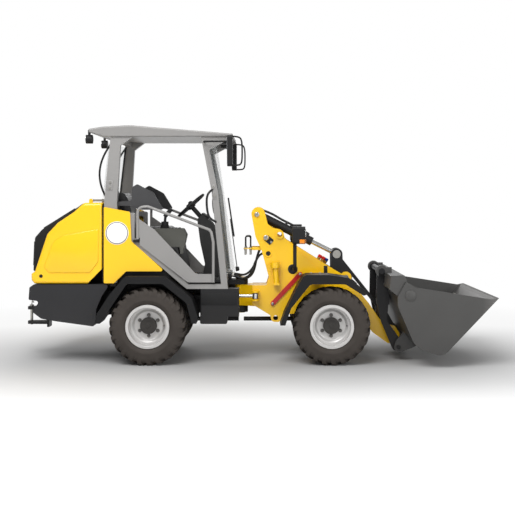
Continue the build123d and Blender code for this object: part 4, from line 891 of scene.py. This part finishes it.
# Boom: yellow plates with a short dark strip across each side that is painted shade, and pipes
# clipped along the tilt ram. Quick couplings for the third circuit sit on top, with coloured dust caps.
SHADE_STRIP_ENDS = [(872, 940), (872, 836)]
SHADE_STRIP_FACE = 114.5
SHADE_STRIP_WIDTH = 38
RED_CAP = (0.50, 0.012, 0.010)
BLUE_CAP = (0.02, 0.06, 0.42)
COUPLINGS = [(790, -40, RED_CAP), (830, 10, RED_CAP), (862, 48, BLUE_CAP)]
COUPLING_TOP = 985
COUPLING_FALL = 0.6
COUPLING_AXIS = (0.5, 0, 0.86)
COUPLING_ROWS = [(-20, 0), (-20, 16), (20, 16), (24, 19), (44, 19), (44, 0)]
CAP_ROWS = [(0, 0), (0, 21), (24, 21), (30, 16), (30, 0)]
PIPE_LINE = [(196, 1516), (300, 1484), (430, 1404), (500, 1372), (640, 1296), (700, 1262)]
PIPE_RADIUS = 9
PIPE_UP = (0.447, 0, 0.894)
RAM_PIPES = [(-24, 0), (0, 6), (24, 0)]
PIPE_CLIPS = [(470, 1366), (694, 1256)]
# Painted shade: a thin black strip on each side plate of the boom, where the plate lies in shade.
shade_strip = bmesh.new()
for side in (-1, 1):
    high, low = [at(x, side * SHADE_STRIP_FACE, z) for x, z in SHADE_STRIP_ENDS]
    bar_between(shade_strip, high, low, SHADE_STRIP_WIDTH, 2, (0, 1, 0), 0.3)
show("boom_shade_strip", shade_strip, black_enamel, "boom")
ram_pipes = bmesh.new()
pipe_clips = bmesh.new()
for offset, lift in RAM_PIPES:
    rounded_tube(ram_pipes, [at(x, offset, z + lift) for x, z in PIPE_LINE], PIPE_RADIUS)
for x, z in PIPE_CLIPS:
    bar_between(pipe_clips, at(x, -34, z), at(x, 34, z), 26, 40, PIPE_UP, 0.2)
show("ram_pipes", ram_pipes, hose_rubber, "tilt_barrel")
show("pipe_clips", pipe_clips, black_enamel, "tilt_barrel")
couplers = bmesh.new()
for number, (x, y, colour) in enumerate(COUPLINGS):
    foot = at(x, y, COUPLING_TOP - (x - COUPLINGS[0][0]) * COUPLING_FALL)
    turned(couplers, COUPLING_ROWS, foot, COUPLING_AXIS, 24, False)
    cap = bmesh.new()
    turned(cap, CAP_ROWS, foot + Vector(COUPLING_AXIS) * 0.043, COUPLING_AXIS, 24, False)
    cap_plastic = moulded(f"cap_plastic_{number}", colour, 0.4, 0.05)
    show(f"coupler_cap_{number}", cap, cap_plastic, "boom")
show("couplers", couplers, zinc("brass", (0.55, 0.40, 0.14), 0.3), "boom")

# Quick hitch and bucket: black hitch frame, dark bucket worn bright along its bolted
# cutting edge, with round wear bosses on the side plates.
EDGE_LINE = (2390, 722, 588)
EDGE_SIZE = (190, 16)
EDGE_BOLTS = 5
BOLT_START = (2352, -560, 566)
BOLT_PITCH = 280
BOSS_SPOT = (1640, 725, 700)
BOSS_ROWS = [(0, 0), (0, 52), (6, 52), (9, 48), (9, 0)]
WEAR_STARTS = 2.20
dress(black_enamel, "quick_hitch")


def worn_steel(name, colour):
    """Bucket coat, scraped towards the cutting edge and inside the shell."""
    material, shader, place, outward = new_finish(name)
    cloud = place.noise(5.0, 6.0)
    scratch = place.node(
        "ShaderNodeTexNoise", {}, {
            "Vector": place.node(
                "ShaderNodeMapping", {}, {"Vector": place, "Scale": (14.0, 260.0, 60.0)}),
            "Scale": 3.0, "Detail": 4.0})
    edge = ((place.axis("X") - WEAR_STARTS) * 5.0 * (scratch + 0.2)).held()
    tone = cloud.blend(opaque(colour, 0.88), opaque(colour, 1.1))
    feed(shader, "Base Color", (0.6 * edge).held().blend(tone, (0.30, 0.29, 0.28, 1)))
    feed(shader, "Metallic", 0.1 + 0.6 * edge)
    feed(shader, "Roughness", 0.48 + 0.25 * (scratch - 0.5))
    roughen(shader, scratch, 0.10, 0.001)
    return material


bucket_coat = worn_steel("bucket_coat", (0.056, 0.055, 0.053))
dress(bucket_coat, "bucket")
edge_bar = bmesh.new()
edge_bolts = bmesh.new()
bosses = bmesh.new()
edge_right, edge_left = [at(EDGE_LINE[0], side * EDGE_LINE[1], EDGE_LINE[2]) for side in (-1, 1)]
bar_between(edge_bar, edge_right, edge_left, *EDGE_SIZE, (-0.72, 0, 0.69), 0.3)
for bolt in range(EDGE_BOLTS):
    spot = at(BOLT_START[0], BOLT_START[1] + bolt * BOLT_PITCH, BOLT_START[2])
    nut(edge_bolts, spot, (-0.69, 0, 0.72), 34, 16)
for side in (-1, 1):
    turned(bosses, BOSS_ROWS, at(BOSS_SPOT[0], side * BOSS_SPOT[1], BOSS_SPOT[2]), (0, side, 0), 40, False)
show("cutting_edge", edge_bar, bucket_coat, "bucket")
show("edge_bolts", edge_bolts, plated, "bucket")
show("side_bosses", bosses, bucket_coat, "bucket")

# Studio: seamless floor, with a painted shadow in grey under the machine and white further out,
# soft lamps above and in front, and the camera square to the machine's right side.
FLOOR_HALF = 30.0
FLOOR_NEAR = 2.2
FLOOR_FAR = 5.5
SHADE_STRETCH = (0.42, 1.0, 1.0)
SHADE_NEAR = 0.7
SHADE_RISE = 0.55
SHADE_GREY = (0.36, 0.36, 0.36, 1)
FLOOR_PALE = (0.93, 0.93, 0.93, 1)
AIR_LIGHT = 0.38
CAMERA_SPOT = (0.104, -8.720, 1.623)
CAMERA_LENS = 58.4
CAMERA_SHIFT = (-0.0126, -0.1128)
LAMPS = [
    ("key", (-2.0, -5.0, 7.0), (0.0, 0.0, 0.9), 5.0, 620.0),
    ("fill", (5.5, -6.0, 3.0), (0.4, 0.0, 0.9), 4.0, 190.0),
    ("back", (0.0, 6.0, 5.0), (0.0, 0.0, 1.0), 5.0, 200.0),
]
floor = bmesh.new()
bmesh.ops.create_grid(floor, x_segments=1, y_segments=1, size=FLOOR_HALF)
floor_mesh = bpy.data.meshes.new("floor")
floor.to_mesh(floor_mesh)
floor.free()
floor_piece = bpy.data.objects.new("floor", floor_mesh)
bpy.context.scene.collection.objects.link(floor_piece)
floor_finish, floor_shader, floor_place, _ = new_finish("pale_floor", roughness=0.9)
floor_tree = floor_finish.node_tree
glow = floor_tree.nodes.new("ShaderNodeEmission")
joined = floor_tree.nodes.new("ShaderNodeMixShader")
reach = floor_place.node("ShaderNodeVectorMath", {"operation": "LENGTH"}, {0: floor_place}, 1)
# Painted shadow: a grey ellipse under the machine that fades to the pale floor further out.
squeezed = floor_place.node("ShaderNodeMapping", {}, {"Vector": floor_place, "Scale": SHADE_STRETCH})
shade = floor_place.node("ShaderNodeVectorMath", {"operation": "LENGTH"}, {0: squeezed}, 1)
painted_shadow_fade = ((shade - SHADE_NEAR + 0.2 * floor_place.noise(0.6)) * SHADE_RISE).held()
feed(floor_shader, "Base Color", painted_shadow_fade.blend(SHADE_GREY, FLOOR_PALE))
feed(joined, 0, ((reach - FLOOR_NEAR) * (1 / (FLOOR_FAR - FLOOR_NEAR))).held())
floor_tree.links.new(floor_shader.outputs[0], joined.inputs[1])
floor_tree.links.new(glow.outputs[0], joined.inputs[2])
floor_tree.links.new(joined.outputs[0], floor_tree.nodes["Material Output"].inputs["Surface"])
floor_mesh.materials.append(floor_finish)
for name, spot, target, size, power in LAMPS:
    light = bpy.data.lights.new(name, "AREA")
    light.size = size
    light.energy = power
    lamp = bpy.data.objects.new(name, light)
    lamp.location = spot
    lamp.rotation_euler = (Vector(target) - Vector(spot)).to_track_quat("-Z", "Y").to_euler()
    bpy.context.scene.collection.objects.link(lamp)
world = bpy.data.worlds.new("studio")
world.use_nodes = True
bpy.context.scene.world = world
air = world.node_tree
backdrop = air.nodes["Background"]
rays = air.nodes.new("ShaderNodeLightPath")
seen = Field(air, rays.outputs["Is Camera Ray"])
backdrop.inputs["Color"].default_value = (1, 1, 1, 1)
feed(backdrop, "Strength", AIR_LIGHT + (1 - AIR_LIGHT) * seen)
camera_data = bpy.data.cameras.new("camera")
camera_data.lens = CAMERA_LENS
camera_data.sensor_width = 36
camera_data.shift_x, camera_data.shift_y = CAMERA_SHIFT
camera = bpy.data.objects.new("camera", camera_data)
camera.location = CAMERA_SPOT
camera.rotation_euler = (math.pi / 2, 0, 0)
bpy.context.scene.collection.objects.link(camera)
bpy.context.scene.camera = camera
bpy.context.scene.view_settings.view_transform = "Standard"
